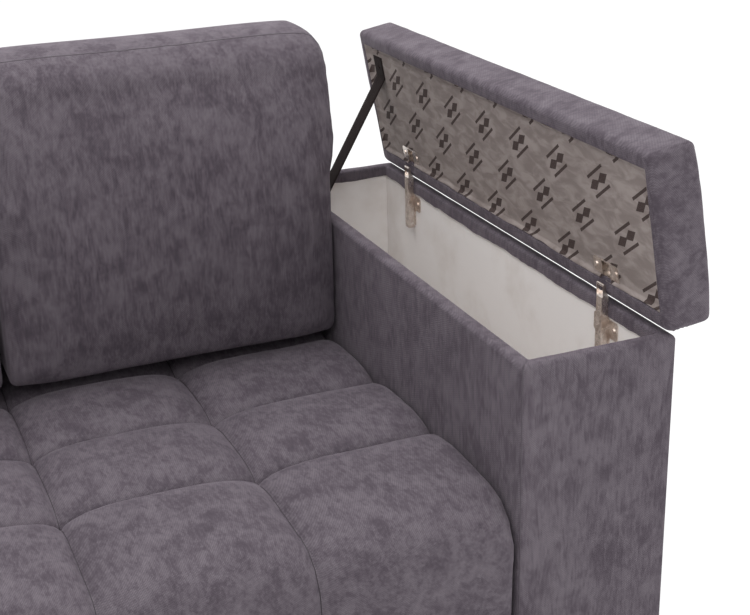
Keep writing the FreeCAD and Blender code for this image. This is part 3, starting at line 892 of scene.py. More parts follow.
class StitchRun:
    """Sewn stitches along lines, made by Geometry Nodes and turned into one plain mesh."""

    def __init__(self, pitch: float = 0.0062, length: float = 0.0044, thickness: float = 0.00055) -> None:
        """Builds the node tree once.

        Args:
            pitch: distance from stitch to stitch.
            length: how long a stitch shows.
            thickness: the thread's radius.
        """
        self.pitch, self.length, self.thickness = pitch, length, thickness
        self.tree = bpy.data.node_groups.new("stitch_run", "GeometryNodeTree")
        face = self.tree.interface
        face.new_socket("Geometry", in_out="INPUT", socket_type="NodeSocketGeometry")
        face.new_socket("Pitch", in_out="INPUT", socket_type="NodeSocketFloat")
        face.new_socket("Length", in_out="INPUT", socket_type="NodeSocketFloat")
        face.new_socket("Thickness", in_out="INPUT", socket_type="NodeSocketFloat")
        face.new_socket("Thread", in_out="INPUT", socket_type="NodeSocketMaterial")
        face.new_socket("Geometry", in_out="OUTPUT", socket_type="NodeSocketGeometry")
        add, link = self.tree.nodes.new, self.tree.links.new
        entry, leave = add("NodeGroupInput"), add("NodeGroupOutput")
        sample = add("GeometryNodeResampleCurve")
        sample.mode = "LENGTH"
        stitch = add("GeometryNodeMeshUVSphere")
        stitch.inputs["Segments"].default_value = 6
        stitch.inputs["Rings"].default_value = 4
        stitch.inputs["Radius"].default_value = 1.0
        size = add("ShaderNodeCombineXYZ")
        half = add("ShaderNodeMath")
        half.operation = "MULTIPLY"
        half.inputs[1].default_value = 0.5
        tangent = add("GeometryNodeInputTangent")
        align = add("FunctionNodeAlignRotationToVector")
        align.axis = "Z"
        spread = add("GeometryNodeInstanceOnPoints")
        real = add("GeometryNodeRealizeInstances")
        finish = add("GeometryNodeSetMaterial")
        link(entry.outputs["Geometry"], sample.inputs["Curve"])
        link(entry.outputs["Pitch"], sample.inputs["Length"])
        link(entry.outputs["Length"], half.inputs[0])
        link(entry.outputs["Thickness"], size.inputs[0])
        link(entry.outputs["Thickness"], size.inputs[1])
        link(half.outputs[0], size.inputs[2])
        link(sample.outputs[0], spread.inputs["Points"])
        link(stitch.outputs["Mesh"], spread.inputs["Instance"])
        link(tangent.outputs[0], align.inputs["Vector"])
        link(align.outputs[0], spread.inputs["Rotation"])
        link(size.outputs[0], spread.inputs["Scale"])
        link(spread.outputs[0], real.inputs[0])
        link(real.outputs[0], finish.inputs["Geometry"])
        link(entry.outputs["Thread"], finish.inputs["Material"])
        link(finish.outputs[0], leave.inputs[0])

    def sew(self, name: str, runs: Sequence[Sequence[Vector]],
            thread: bpy.types.Material) -> bpy.types.Object:
        """Sews along every run.

        Args:
            name: the piece's name.
            runs: polylines on the cloth's surface.
            thread: the thread's finish.

        Returns:
            One mesh object with all stitches.
        """
        curve = bpy.data.curves.new(name, "CURVE")
        curve.dimensions = "3D"
        for run in runs:
            spline = curve.splines.new("POLY")
            spline.points.add(len(run) - 1)
            for point, place in zip(spline.points, run):
                point.co = (*place, 1.0)
        piece = bpy.data.objects.new(name, curve)
        bpy.context.collection.objects.link(piece)
        modifier = piece.modifiers.new("stitches", "NODES")
        modifier.node_group = self.tree
        sockets = {item.name: item.identifier for item in self.tree.interface.items_tree
                   if item.in_out == "INPUT"}
        modifier[sockets["Pitch"]] = self.pitch
        modifier[sockets["Length"]] = self.length
        modifier[sockets["Thickness"]] = self.thickness
        modifier[sockets["Thread"]] = thread
        bpy.context.view_layer.update()
        graph = bpy.context.evaluated_depsgraph_get()
        mesh = bpy.data.meshes.new_from_object(piece.evaluated_get(graph), depsgraph=graph)
        bpy.data.objects.remove(piece)
        mesh.name = name
        sewn = bpy.data.objects.new(name, mesh)
        bpy.context.collection.objects.link(sewn)
        return sewn


def tube(name: str, path: Sequence[Vector], radius: float, sides: int = 8) -> bpy.types.Object:
    """A closed round cord along a path.

    Args:
        name: the piece's name.
        path: the cord's middle line.
        radius: its radius.
        sides: points round it.

    Returns:
        The cord's mesh object.
    """
    points: list[Vector] = []
    for index, place in enumerate(path):
        run = (path[min(index + 1, len(path) - 1)] - path[max(index - 1, 0)]).normalized()
        side = run.cross(Vector((0.31, 0.87, 0.38))).normalized()
        up = run.cross(side)
        for step in range(sides):
            angle = 2 * math.pi * step / sides
            points.append(place + (side * math.cos(angle) + up * math.sin(angle)) * radius)
    faces = ring_faces(len(path), sides)
    faces.append(tuple(range(sides)))
    faces.append(tuple(range((len(path) - 1) * sides, len(path) * sides)))
    return recalculated(mesh_object(name, np.array([tuple(p) for p in points]), faces), 1e-7)


def pinned(piece: bpy.types.Object, run: Sequence[Vector], lift: float) -> list[Vector]:
    """A run laid onto a piece's surface.

    Args:
        piece: the mesh object.
        run: places near its surface.
        lift: how far above the surface they end.

    Returns:
        The laid places.
    """
    laid = []
    for point in run:
        found, place, normal, _ = piece.closest_point_on_mesh(point)
        laid.append(place + normal * lift if found else point)
    return laid


def finish_piece(piece: bpy.types.Object, body: str, material: bpy.types.Material,
                 nodes: Sequence[str] = ()) -> bpy.types.Object:
    """Gives a piece its finish and its place in the frame.

    Args:
        piece: the mesh object.
        body: the CAD body that it rides on.
        material: its finish.
        nodes: CAD nodes that it stands for.

    Returns:
        The same piece.
    """
    piece.data.materials.clear()
    piece.data.materials.append(material)
    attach(piece, body)
    if nodes:
        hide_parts(*nodes)
    log.info("%s: %d faces on %s", piece.name, len(piece.data.polygons), body)
    return piece


# Armrest boxes


@dataclass
class ArmBox:
    """The fabric over one armrest box, turned over its rim and down inside."""

    side: Side
    wardrobe: Wardrobe
    corner: float = 0.006
    corner_least: float = 0.0035
    rim_roll: float = 0.0065
    inner_roll: float = 0.0045
    wall: float = 0.0185
    turn_in: float = 0.0170
    cloth: float = 0.0021
    clear: float = 0.0004
    pitch: float = 0.012
    hem_wave: tuple[float, float] = (0.0042, 0.0022)
    seam_radius: float = 0.0008

    def outline(self, inset: float) -> tuple[np.ndarray, np.ndarray]:
        """A rounded rectangle round the box, with the same count of points at every inset.

        Args:
            inset: how far inside the outer faces it runs.

        Returns:
            Its N by 2 places, anticlockwise from above, and how far along it each lies.
        """
        radius = max(self.corner - inset * 0.35, self.corner_least)
        x0, x1 = ARM_INNER + inset + radius, ARM_OUTER - inset - radius
        y0, y1 = -HALF_DEPTH + inset + radius, HALF_DEPTH - inset - radius
        count_x = round((ARM_OUTER - ARM_INNER) / self.pitch)
        count_y = round(2 * HALF_DEPTH / self.pitch)
        quarter = math.pi / 2
        corners = [((x0, y0), 2 * quarter, count_x), ((x1, y0), 3 * quarter, count_y),
                   ((x1, y1), 0.0, count_x), ((x0, y1), quarter, count_y)]
        places: list[tuple[float, float]] = []
        for index, ((x, y), start, count) in enumerate(corners):
            places += [(x + radius * math.cos(angle), y + radius * math.sin(angle))
                       for angle in start + quarter * np.linspace(0, 1, 6)]
            next_x, next_y = corners[(index + 1) % 4][0]
            end_x = next_x + radius * math.cos(start + quarter)
            end_y = next_y + radius * math.sin(start + quarter)
            here_x, here_y = places[-1]
            places += [(here_x + (end_x - here_x) * step / count, here_y + (end_y - here_y) * step / count)
                       for step in range(1, count)]
        points = np.array(places)
        gaps = np.linalg.norm(np.roll(points, -1, axis=0) - points, axis=1)
        return points, np.concatenate([[0], np.cumsum(gaps)[:-1]])

    def profile(self) -> list[tuple[float, float, float]]:
        """The cloth's path up the outside, over the rim and down inside.

        Returns:
            Rows of inset, height and share of the hem's waviness.
        """
        roll, lip, inner = self.rim_roll, self.inner_roll, self.wall + self.cloth
        rows = [(0.0006, FOOT + 0.001, 0.0), (0.0, FOOT + 0.004, 0.0)]
        rows += [(0.0, z, 0.0) for z in lines(FOOT + 0.012, RIM - roll - 0.012, self.pitch, 0.0, self.pitch)]
        rows.append((0.0, RIM - roll - 0.004, 0.0))
        for angle in np.linspace(0, math.pi / 2, 7):
            rows.append((roll * (1 - math.cos(angle)), RIM - roll + roll * math.sin(angle), 0.0))
        rows += [(roll + 0.0035, RIM, 0.0), (inner - lip - 0.003, RIM, 0.0)]
        for angle in np.linspace(0, math.pi / 2, 6):
            rows.append((inner - lip * (1 - math.sin(angle)), RIM - lip * (1 - math.cos(angle)), 0.0))
        for share in (0.25, 0.5, 0.75, 0.92, 1.0):
            rows.append((inner + self.clear, RIM - lip - (self.turn_in - lip) * share, share))
        rows.append((self.wall + self.clear, RIM - self.turn_in, 1.0))
        rows.append((self.wall + 0.0003, RIM - 0.004, 0.0))
        rows += [(self.cloth + self.clear, z, 0.0) for z in (RIM - 0.0032, 0.30, FOOT + 0.002)]
        return rows

    def build(self) -> bpy.types.Object:
        """Makes the arm's cover.

        Returns:
            Its mesh object.
        """
        sign = self.side.value
        long_wave, short_wave = self.hem_wave
        loops = []
        for inset, height, share in self.profile():
            ring, path = self.outline(inset)
            probe = np.column_stack([path, np.full(len(path), sign * 3.7), np.zeros(len(path))])
            wave = long_wave * ripple(probe, 21.0, 1.3) + short_wave * ripple(probe, 55.0, 2.1) - 0.001
            loops.append(np.column_stack([ring, height + share * wave]))
        points = self.soften(np.concatenate(loops))
        points[:, 0] *= sign
        faces = ring_faces(len(loops), len(loops[0]), joined=True)
        name = f"arm_cover_{self.side.word}"
        piece = mesh_object(f"{name}_cloth", points, faces, flip=sign < 0)
        return finish_piece(piece, "sofa", self.wardrobe.upright, [name])

    def soften(self, points: np.ndarray) -> np.ndarray:
        """Adds the padded rim's small unevenness, which never rises over the rim.

        Args:
            points: N by 3 places, changed in place.

        Returns:
            The same places.
        """
        near_rim = smooth(points[:, 2], RIM - 0.03, RIM - 0.002)
        points[:, 2] += np.minimum(ripple(points, 38.0, 4.0) * 0.0007 * near_rim, 0.0)
        return points

    def sewing(self) -> bpy.types.Object:
        """Makes the piped seam down the box's front-inner corner and across its rim.

        Returns:
            The cord's mesh object.
        """
        inset, turn = self.corner * 0.30, 0.0015
        x, y = ARM_INNER + inset, -HALF_DEPTH + inset
        route = [(0.0, z) for z in np.linspace(FOOT + 0.004, RIM - 0.004, 60)]
        route += [(turn * t, RIM - 0.0045 + 0.0038 * math.sin(t * math.pi / 2))
                  for t in np.linspace(0.2, 1.0, 6)]
        route += [(turn + d, RIM - 0.0006) for d in np.linspace(0.0015, 0.0125, 6)]
        run = [Vector(((x + into) * self.side.value, y + into, z)) for into, z in route]
        piece = tube(f"arm_seam_{self.side.word}", run, self.seam_radius)
        return finish_piece(piece, "sofa", self.wardrobe.thread)


# Lids


@dataclass
class LidPad:
    """One padded lid: sewn cover, stapled lining and their stitches, made closed and then set in place."""

    side: Side
    wardrobe: Wardrobe
    stitches: StitchRun
    x0: float = 0.536
    x1: float = 0.7815
    y0: float = -0.4615
    y1: float = 0.4495
    z0: float = 0.6203
    height: float = 0.066
    crown: float = 0.0054
    border_side: float = 0.0245
    border_hinge: float = 0.0310
    border_front: float = 0.018
    border_rear: float = 0.020
    recess: float = 0.0060
    roll: float = 0.0045
    edge_radius: float = 0.0085
    hinge_radius: float = 0.0170
    top_radius: float = 0.0095
    end_seam: float = 0.0042
    cloth: float = 0.0014
    lining_cloth: float = 0.0006
    lining_lap: float = 0.0030
    tray: float = 0.6255
    cup_edge: float = 0.727
    cup_half: float = 0.0125
    staple_pitch: float = 0.096

    @property
    def body(self) -> str:
        """The CAD body that the lid is."""
        return f"lid_{self.side.word}"

    def set_in_place(self, points: np.ndarray) -> np.ndarray:
        """Moves closed right-hand points to where this lid rests.

        Args:
            points: N by 3 places of the closed right lid.

        Returns:
            The places of this side's lid at rest: the right one open, the left one closed.
        """
        if self.side is Side.LEFT:
            return points * np.array([-1.0, 1.0, 1.0])
        turn = np.array(Matrix.Rotation(LID_OPEN, 3, "Y"))
        pivot = np.array(PIVOT)
        return (points - pivot) @ turn.T + pivot

    def window(self, lap: float = 0.0, hinge_lap: float = 0.0) -> tuple[float, float, float, float]:
        """The opening inside the cover's border, or the lining that laps over it.

        Args:
            lap: how far the lining passes three sides of the opening.
            hinge_lap: how far it passes the hinge side.

        Returns:
            Its low and high X, then its low and high Y.
        """
        return (self.x0 + self.border_side - lap, self.x1 - self.border_hinge + hinge_lap,
                self.y0 + self.border_front - lap, self.y1 - self.border_rear + lap)

    def corner_radius(self, points: np.ndarray) -> np.ndarray:
        """The lid's edge radius, fullest along the hinge side's lower edge.

        Args:
            points: N by 3 places on the plain box.

        Returns:
            N radii.
        """
        top = smooth(points[:, 2], self.z0 + 0.02, self.z0 + self.height - 0.02)
        outer = smooth(points[:, 0], self.x0 + 0.08, self.x1 - 0.08)
        low = self.edge_radius + (self.hinge_radius - self.edge_radius) * outer
        return low + (self.top_radius - low) * top

    def cover(self) -> bpy.types.Object:
        """Makes the sewn cover with its folded border round the window.

        Returns:
            Its mesh object.
        """
        wx0, wx1, wy0, wy1 = self.window()
        roll, inward = self.roll, 0.001
        xs = lines(self.x0, self.x1, 0.0085, 0.013, 0.0026,
                   [(wx0 - roll, wx0 + inward, 0.0015), (wx1 - inward, wx1 + roll, 0.0015)])
        ys = lines(self.y0, self.y1, 0.0085, 0.020, 0.0022,
                   [(wy0 - roll, wy0 + inward, 0.0015), (wy1 - inward, wy1 + roll, 0.0015)]
                   + [(y - 0.020, y + 0.020, 0.0025) for y in HINGE_YS])
        zs = lines(self.z0, self.z0 + self.height, 0.0065, 0.013, 0.0026)
        grid = BlockGrid(xs, ys, zs)
        flat = grid.box_points
        points = self.swell(grid.rounded(self.corner_radius), flat)
        under = flat[:, 2] < self.z0 + NEAR
        into = np.minimum(np.minimum(flat[:, 0] - wx0, wx1 - flat[:, 0]),
                          np.minimum(flat[:, 1] - wy0, wy1 - flat[:, 1]))
        open_part = under & (into > -NEAR)
        faces = [face for face in grid.faces if not all(open_part[index] for index in face)]
        # The border folds up into the window, and dips where the hinge arms pass under it
        rise = smooth(into, -roll, 0.0002) ** 1.6
        points[under, 2] += (rise * (self.recess - 0.0002))[under]
        for y in HINGE_YS:
            along = np.exp(-(((flat[:, 1] - y) / 0.0135) ** 4))
            across = smooth(flat[:, 0], wx1 - 0.012, wx1 - 0.002) \
                * (1 - smooth(flat[:, 0], wx1 + 0.0085, wx1 + 0.0125))
            points[under, 2] += (along * across * self.recess * 0.9 * (1 - rise))[under]
        name = f"lid_cover_{self.side.word}"
        piece = mesh_object(f"{name}_cloth", self.set_in_place(points), faces, flip=self.side is Side.LEFT)
        thin_cloth(piece, self.cloth, -1.0)
        return finish_piece(piece, self.body, self.wardrobe.lid, [name])

    def swell(self, points: np.ndarray, flat: np.ndarray) -> np.ndarray:
        """Crowns the top, bellies the sides and dents the seams.

        Args:
            points: the rounded places.
            flat: the same points on the plain box.

        Returns:
            The swollen places.
        """
        points = points.copy()
        u = (flat[:, 0] - self.x0) / (self.x1 - self.x0) * 2 - 1
        v = (flat[:, 1] - self.y0) / (self.y1 - self.y0) * 2 - 1
        w = (flat[:, 2] - self.z0) / self.height * 2 - 1
        points[:, 2] += self.crown * np.clip(1 - np.abs(u) ** 3.0, 0, 1) * smooth(w, -0.2, 1.0)
        belly = np.clip(1 - w ** 2, 0, 1)
        points[:, 0] += np.sign(u) * smooth(np.abs(u), 0.8, 1.0) * belly * 0.0016 * (1 - np.abs(v) ** 10)
        points[:, 1] += np.sign(v) * smooth(np.abs(v), 0.93, 1.0) * belly * 0.0022 * (1 - np.abs(u) ** 6)
        # The end panels are sewn on: a dent runs just round their edge
        for end in (self.y0 + self.end_seam, self.y1 - self.end_seam):
            depth = np.exp(-(((points[:, 1] - end) / 0.0013) ** 2)) * 0.0010
            points[:, 0] -= np.sign(u) * (np.abs(u) > 0.9) * depth
            points[:, 2] -= (w > 0.9) * depth
        wrinkle = ripple(flat * np.array([1.0, 0.7, 1.0]), 26.0, 2.0) * 0.0006 \
            + ripple(flat, 75.0, 5.0) * 0.00025
        soft = smooth(w, -0.97, -0.6)
        points[:, 2] += wrinkle * (w > 0.98)
        points[:, 0] += np.sign(u) * wrinkle * (np.abs(u) > 0.98) * soft
        points[:, 1] += np.sign(v) * wrinkle * (np.abs(v) > 0.98) * soft
        return points

    def lining(self) -> bpy.types.Object:
        """Makes the stapled lining, a shallow tray of thin cloth with a wavy edge over the border.

        Returns:
            Its mesh object.
        """
        wx0, wx1, wy0, wy1 = self.window(self.lining_lap, self.lining_lap * 0.4)
        xs = lines(wx0, wx1, 0.0060, 0.014, 0.0022, [(self.cup_edge - 0.005, 0.7535, 0.0022)])
        ys = lines(wy0, wy1, 0.0060, 0.014, 0.0022, [(y - 0.034, y + 0.034, 0.003) for y in HINGE_YS])
        x, y = (places.ravel() for places in np.meshgrid(xs, ys, indexing="ij"))
        edge = np.minimum(np.minimum(x - wx0, wx1 - x), np.minimum(y - wy0, wy1 - y))
        probe = np.column_stack([x, y, np.zeros(len(x))])
        band = 0.012
        waver = ripple(probe, 30.0, 3.0) * 0.0022 + ripple(probe, 80.0, 6.0) * 0.0009
        waver *= 1 - smooth(edge, 0.0, band)
        wavy_x = x + (smooth(wx1 - x, 0.0, band) - smooth(x - wx0, 0.0, band)) * waver
        wavy_y = y + (smooth(wy1 - y, 0.0, band) - smooth(y - wy0, 0.0, band)) * waver
        lip = 1 - smooth(edge, 0.0008, 0.0058)
        z = self.tray + ripple(probe, 16.0, 8.0) * 0.00035 - lip * (self.tray - self.z0 - 0.0012) * 0.92
        from_staple = (y + 0.02) % self.staple_pitch - self.staple_pitch / 2
        z += np.exp(-(from_staple / 0.007) ** 2) * smooth(wx0 + 0.04 - x, 0.0, 0.02) * lip * 0.0012

        def over_cup(face: tuple[int, ...]) -> bool:
            """Whether a face lies where the lining is cut away for a hinge cup."""
            cx, cy = (x[face[0]] + x[face[2]]) / 2, (y[face[0]] + y[face[2]]) / 2
            return cx > self.cup_edge and any(abs(cy - hinge) < self.cup_half for hinge in HINGE_YS)

        faces = [face for face in grid_faces(len(xs), len(ys)) if not over_cup(face)]
        name = f"lid_lining_{self.side.word}"
        piece = mesh_object(f"{name}_cloth", self.set_in_place(np.column_stack([wavy_x, wavy_y, z])), faces,
                            flip=self.side is Side.LEFT, uv=np.column_stack([y, x]))
        thin_cloth(piece, self.lining_cloth, 1.0)
        finish_piece(piece, self.body, self.wardrobe.lining, [name])
        return piece

    def sewing(self, cover: bpy.types.Object) -> bpy.types.Object:
        """Makes the stitches round both end panels, laid on the cover.

        Args:
            cover: the lid's finished cover.

        Returns:
            One mesh object with all stitches.
        """
        runs = []
        top = self.z0 + self.height
        middle, half = 0.6555, 0.1195
        for y in (self.y0 + 0.0085, self.y1 - 0.0085):
            runs.append([(x, y, top + self.crown * (1 - abs((x - middle) / half) ** 2.4) * 0.86 + 0.0004)
                         for x in np.linspace(self.x0 + 0.012, self.x1 - 0.012, 40)])
            runs.append([(self.x1 + 0.0002 + 0.0010 * math.sin(math.pi * t), y, top - 0.012 - t * 0.04)
                         for t in np.linspace(0, 1, 12)])
        placed = [[Vector(point) for point in self.set_in_place(np.array(run))] for run in runs]
        laid = [pinned(cover, run, 0.0001) for run in placed]
        piece = self.stitches.sew(f"lid_stitches_{self.side.word}", laid, self.wardrobe.thread)
        return finish_piece(piece, self.body, self.wardrobe.thread)


# Straps


@dataclass
class StopStrap:
    """The webbing that stops a lid, sewn to its lining and to the arm's inner wall."""

    side: Side
    wardrobe: Wardrobe
    centre: float = 0.388
    width: float = 0.035
    thickness: float = 0.0018
    cut: float = 0.390
    low: Vector = field(default_factory=lambda: Vector((0.5554, 0.388, 0.520)))
    leave_closed: Vector = field(default_factory=lambda: Vector((0.610, 0.388, 0.6244)))
    tab: float = 0.037
    edge: float = 0.0008

    def opened(self, point: Vector) -> Vector:
        """Where a point of the closed right lid is with the lid open."""
        return Matrix.Rotation(LID_OPEN, 3, "Y") @ (point - PIVOT) + PIVOT

    def taut_line(self) -> list[Vector]:
        """The right strap's middle line.

        Returns:
            Places along its wall tab, straight run and lid tab.
        """
        start, end = self.low, self.opened(self.leave_closed)
        foot = start - Vector((0, 0, self.tab))
        tip = self.opened(self.leave_closed - Vector((self.tab, 0, 0)))
        points = [foot.lerp(start, t) for t in np.linspace(0, 1, 9)]
        points += [start.lerp(end, t) for t in np.linspace(0, 1, 41)[1:]]
        points += [end.lerp(tip, t) for t in np.linspace(0, 1, 9)[1:]]
        return points

    def slack_line(self) -> list[Vector]:
        """The left strap's middle line, closed, where each height's X lets it open out straight.

        Returns:
            Places along it on the right-hand side, which the caller mirrors.
        """
        start, end = self.low, self.opened(self.leave_closed)
        run = (end - start).normalized()
        across = Vector((run.z, 0, -run.x))
        foot = start - Vector((0, 0, self.tab))
        points = [foot.lerp(start, t) for t in np.linspace(0, 1, 9)]
        for share in np.linspace(0, 1, 61)[1:-1]:
            z = start.z + (self.leave_closed.z - start.z) * share
            turn = Matrix.Rotation(LID_OPEN * float(smooth(share, 0.0, 1.0)), 3, "Y")
            column = turn @ Vector((1, 0, 0))
            fixed = turn @ Vector((0, 0, z - PIVOT.z)) + PIVOT + Vector((0, self.centre, 0)) - start
            points.append(Vector((PIVOT.x - fixed.dot(across) / column.dot(across), self.centre, z)))
        points += [self.leave_closed - Vector((self.tab * t, 0, 0)) for t in np.linspace(0, 1, 9)]
        return points

    def section(self) -> list[tuple[float, float]]:
        """The webbing's cross-section.

        Returns:
            Its points as across and out of the middle line, one way round.
        """
        half, thick = self.width / 2, self.thickness / 2
        inner = (-half + self.edge, -half * 0.5, 0.0, half * 0.5, half - self.edge)
        return [(-half, 0.0), *((across, thick) for across in inner),
                (half, 0.0), *((across, -thick) for across in reversed(inner))]

    def build(self) -> bpy.types.Object:
        """Makes the strap's mesh, taut for the open right lid and slack for the closed left one.

        Returns:
            Its mesh object.
        """
        middle = self.taut_line() if self.side is Side.RIGHT else self.slack_line()
        section = self.section()
        points, uv = [], []
        length = 0.0
        for index, place in enumerate(middle):
            before, after = middle[max(index - 1, 0)], middle[min(index + 1, len(middle) - 1)]
            run = (after - before).normalized()
            length += (place - before).length
            for across, out in section:
                points.append((place.x - run.z * out, self.centre + across, place.z + run.x * out))
                uv.append((length, across))
        count = len(section)
        faces = ring_faces(len(middle), count)
        faces.append(tuple(range(count))[::-1])
        faces.append(tuple(range((len(middle) - 1) * count, len(middle) * count)))
        places = np.array(points)
        places[:, 0] *= self.side.value
        piece = recalculated(mesh_object(f"strap_{self.side.word}_webbing", places, faces, uv=np.array(uv)))
        piece.data.materials.append(self.wardrobe.strap)
        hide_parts(f"strap_{self.side.word}")
        if self.side is Side.RIGHT:
            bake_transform(piece)
        else:
            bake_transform(piece)
        return piece


# Seat


@dataclass
class SeatPad:
    """The one-piece seat pad in sewn squares, which rolls over the front edge and runs down to the rail."""

    wardrobe: Wardrobe
    foam_top: float = 0.370
    front: float = -0.3985
    core: float = 0.015
    rear: float = 0.330
    bottom: float = 0.190
    cross_seams: tuple[float, ...] = (-0.206, 0.0, 0.204)
    columns: int = 4
    fall: float = 0.0364
    seam_height: float = 0.020
    seam_swell: float = 0.022
    middle_height: float = 0.043
    middle_swell: float = 0.025
    hidden_rear: float = 0.08
    pitch: float = 0.0068
    fine_pitch: float = 0.0026
    fine_band: float = 0.012
    side_roll: float = 0.017
    seam_radius: float = 0.0009

    def lengths(self) -> tuple[float, float, float]:
        """The lengths of the base line.

        Returns:
            Length of the top, of the bend's core and of the whole line.
        """
        top = self.rear - (self.front + self.core)
        bend = self.core * math.pi / 2
        return top, bend, top + bend + (self.foam_top - self.core - self.bottom)

    def base(self, s: float) -> tuple[Vector, Vector]:
        """A point of the foam's outline and its outward direction.

        Args:
            s: length from the rear.

        Returns:
            The point and the direction.
        """
        top, bend, _ = self.lengths()
        if s <= top:
            return Vector((0, self.rear - s, self.foam_top)), Vector((0, 0, 1))
        if s <= top + bend:
            angle = (s - top) / self.core
            out = Vector((0, -math.sin(angle), math.cos(angle)))
            centre = Vector((0, self.front + self.core, self.foam_top - self.core))
            return centre + out * self.core, out
        return Vector((0, self.front, self.foam_top - self.core - (s - top - bend))), Vector((0, -1, 0))

    @staticmethod
    def dome(value: np.ndarray | float, power: float, sharp: float) -> np.ndarray | float:
        """One in a square's middle and zero at its seams, for a coordinate from -1 to 1."""
        return np.clip(1 - np.abs(value) ** power, 0, 1) ** sharp

    def heights(self, s: float) -> tuple[float, float]:
        """The cloth's height over the foam.

        Args:
            s: length from the rear.

        Returns:
            The height on a lengthwise seam and over a square's middle.
        """
        top, bend, whole = self.lengths()
        marks = [-self.hidden_rear] + [self.rear - y for y in reversed(self.cross_seams)]
        first = marks[-1]
        for start, end in zip(marks, marks[1:]):
            if s <= end and s < first:
                swell = float(self.dome((s - start) / (end - start) * 2 - 1, 3.2, 0.60))
                sunk = self.fall * (self.rear - s - self.cross_seams[0])
                return (self.seam_height + self.seam_swell * swell - sunk,
                        self.middle_height + self.middle_swell * swell - sunk)
        # The front squares roll over the edge: length, height on the seam, height in the middle
        keys = [(first, self.seam_height, self.middle_height), (first + 0.008, 0.0290, 0.0540),
                (first + 0.024, 0.0370, 0.0630), (first + 0.060, 0.0420, 0.0680),
                (top - 0.050, 0.0405, 0.0675), (top, 0.0395, 0.0645),
                (top + bend * 0.5, 0.0440, 0.0655), (top + bend, 0.0480, 0.0610),
                (top + bend + 0.05, 0.0490, 0.0580), (whole - 0.060, 0.0470, 0.0560),
                (whole - 0.015, 0.0400, 0.0470), (whole, 0.0300, 0.0330)]
        stops, on_seam, in_middle = zip(*keys)
        return float(np.interp(s, stops, on_seam)), float(np.interp(s, stops, in_middle))

    def build(self) -> bpy.types.Object:
        """Makes the pad, and the cords in its seams.

        Returns:
            The pad's mesh object.
        """
        _, _, whole = self.lengths()
        marks = [self.rear - y for y in reversed(self.cross_seams)]
        width = 2 * SEAT_HALF / self.columns
        seams = [-SEAT_HALF + width * i for i in range(self.columns + 1)]
        band, fine = self.fine_band, self.fine_pitch
        ss = lines(0.0, whole, self.pitch, 0.0, self.pitch, [(m - band, m + band, fine) for m in marks])
        xs = lines(-SEAT_HALF, SEAT_HALF, self.pitch, band, fine,
                   [(x - band, x + band, fine) for x in seams[1:-1]])
        raw = np.array([self.heights(float(s)) for s in ss])
        kernel = np.array([1, 2, 3, 2, 1]) / 9
        evened = np.column_stack([np.convolve(np.pad(column, 2, "edge"), kernel, "valid")
                                  for column in raw.T])
        behind = (ss < marks[-1] + 0.015)[:, None]
        u = ((xs + SEAT_HALF) / width % 1.0) * 2 - 1
        u[np.isclose(xs, SEAT_HALF)] = 1.0
        outer = np.abs(xs) > SEAT_HALF - width / 2
        swell = np.where(outer, 1.0, self.dome(u, 3.4, 0.62))
        from_arm = np.clip((SEAT_HALF - np.abs(xs)) / 0.019, 0, 1)
        roll = np.where(outer, (1 - np.sqrt(1 - (1 - from_arm) ** 2 * 0.98)) * self.side_roll, 0.0)
        base, lift, normal = [], [], []
        for s, (seam, crown) in zip(ss, np.where(behind, raw, evened)):
            at, out = self.base(float(s))
            base += [(x, at.y, at.z) for x in xs]
            lift += list(seam + (crown - seam) * swell - roll)
            normal += [tuple(out)] * len(xs)
        rows, columns = len(ss), len(xs)
        normals, floor = np.array(normal), np.array(base)
        pull = self.puckers(np.repeat(ss, columns), np.tile(xs, rows), seams, marks)
        points = floor + normals * (np.array(lift) + pull)[:, None]
        total = rows * columns
        faces = grid_faces(rows, columns, turned=True)
        ring = list(range(columns))
        ring += [i * columns + columns - 1 for i in range(1, rows)]
        ring += [(rows - 1) * columns + j for j in range(columns - 2, -1, -1)]
        ring += [i * columns for i in range(rows - 2, 0, -1)]
        faces += [(a, b, b + total, a + total) for a, b in zip(ring, ring[1:] + ring[:1])]
        faces += grid_faces(rows, columns, total)
        shell = np.concatenate([points, floor + normals * 0.001])
        piece = recalculated(mesh_object("seat_pad_cloth", shell, faces))
        self.creases(points.reshape(rows, columns, 3), ss, xs, seams, marks)
        return finish_piece(piece, "sofa", self.wardrobe.seat, ["seat_pad"])

    def creases(self, surface: np.ndarray, ss: np.ndarray, xs: np.ndarray, seams: Sequence[float],
                marks: Sequence[float]) -> None:
        """Lays thin near-black cords along the seams in the grooves between the squares; their dark colour
        is painted shade of the grooves.

        Args:
            surface: the pad's upper grid of places.
            ss: lengths of its rows.
            xs: its columns.
            seams: X of the lengthwise seams.
            marks: lengths of the crosswise seams.
        """
        paths = {f"long_{number}": surface[3:-3, int(np.argmin(np.abs(xs - x)))]
                 for number, x in enumerate(seams[1:-1])}
        paths |= {f"cross_{number}": surface[int(np.argmin(np.abs(ss - mark))), 2:-2]
                  for number, mark in enumerate(marks)}
        sunk = np.array([0.0, 0.0, 0.0002])
        for name, path in paths.items():
            # The cords' near-black colour paints the grooves' shade
            cord = tube(f"seat_seam_{name}", [Vector(place - sunk) for place in path], self.seam_radius, 6)
            finish_piece(cord, "sofa", self.wardrobe.seam_groove_shade)

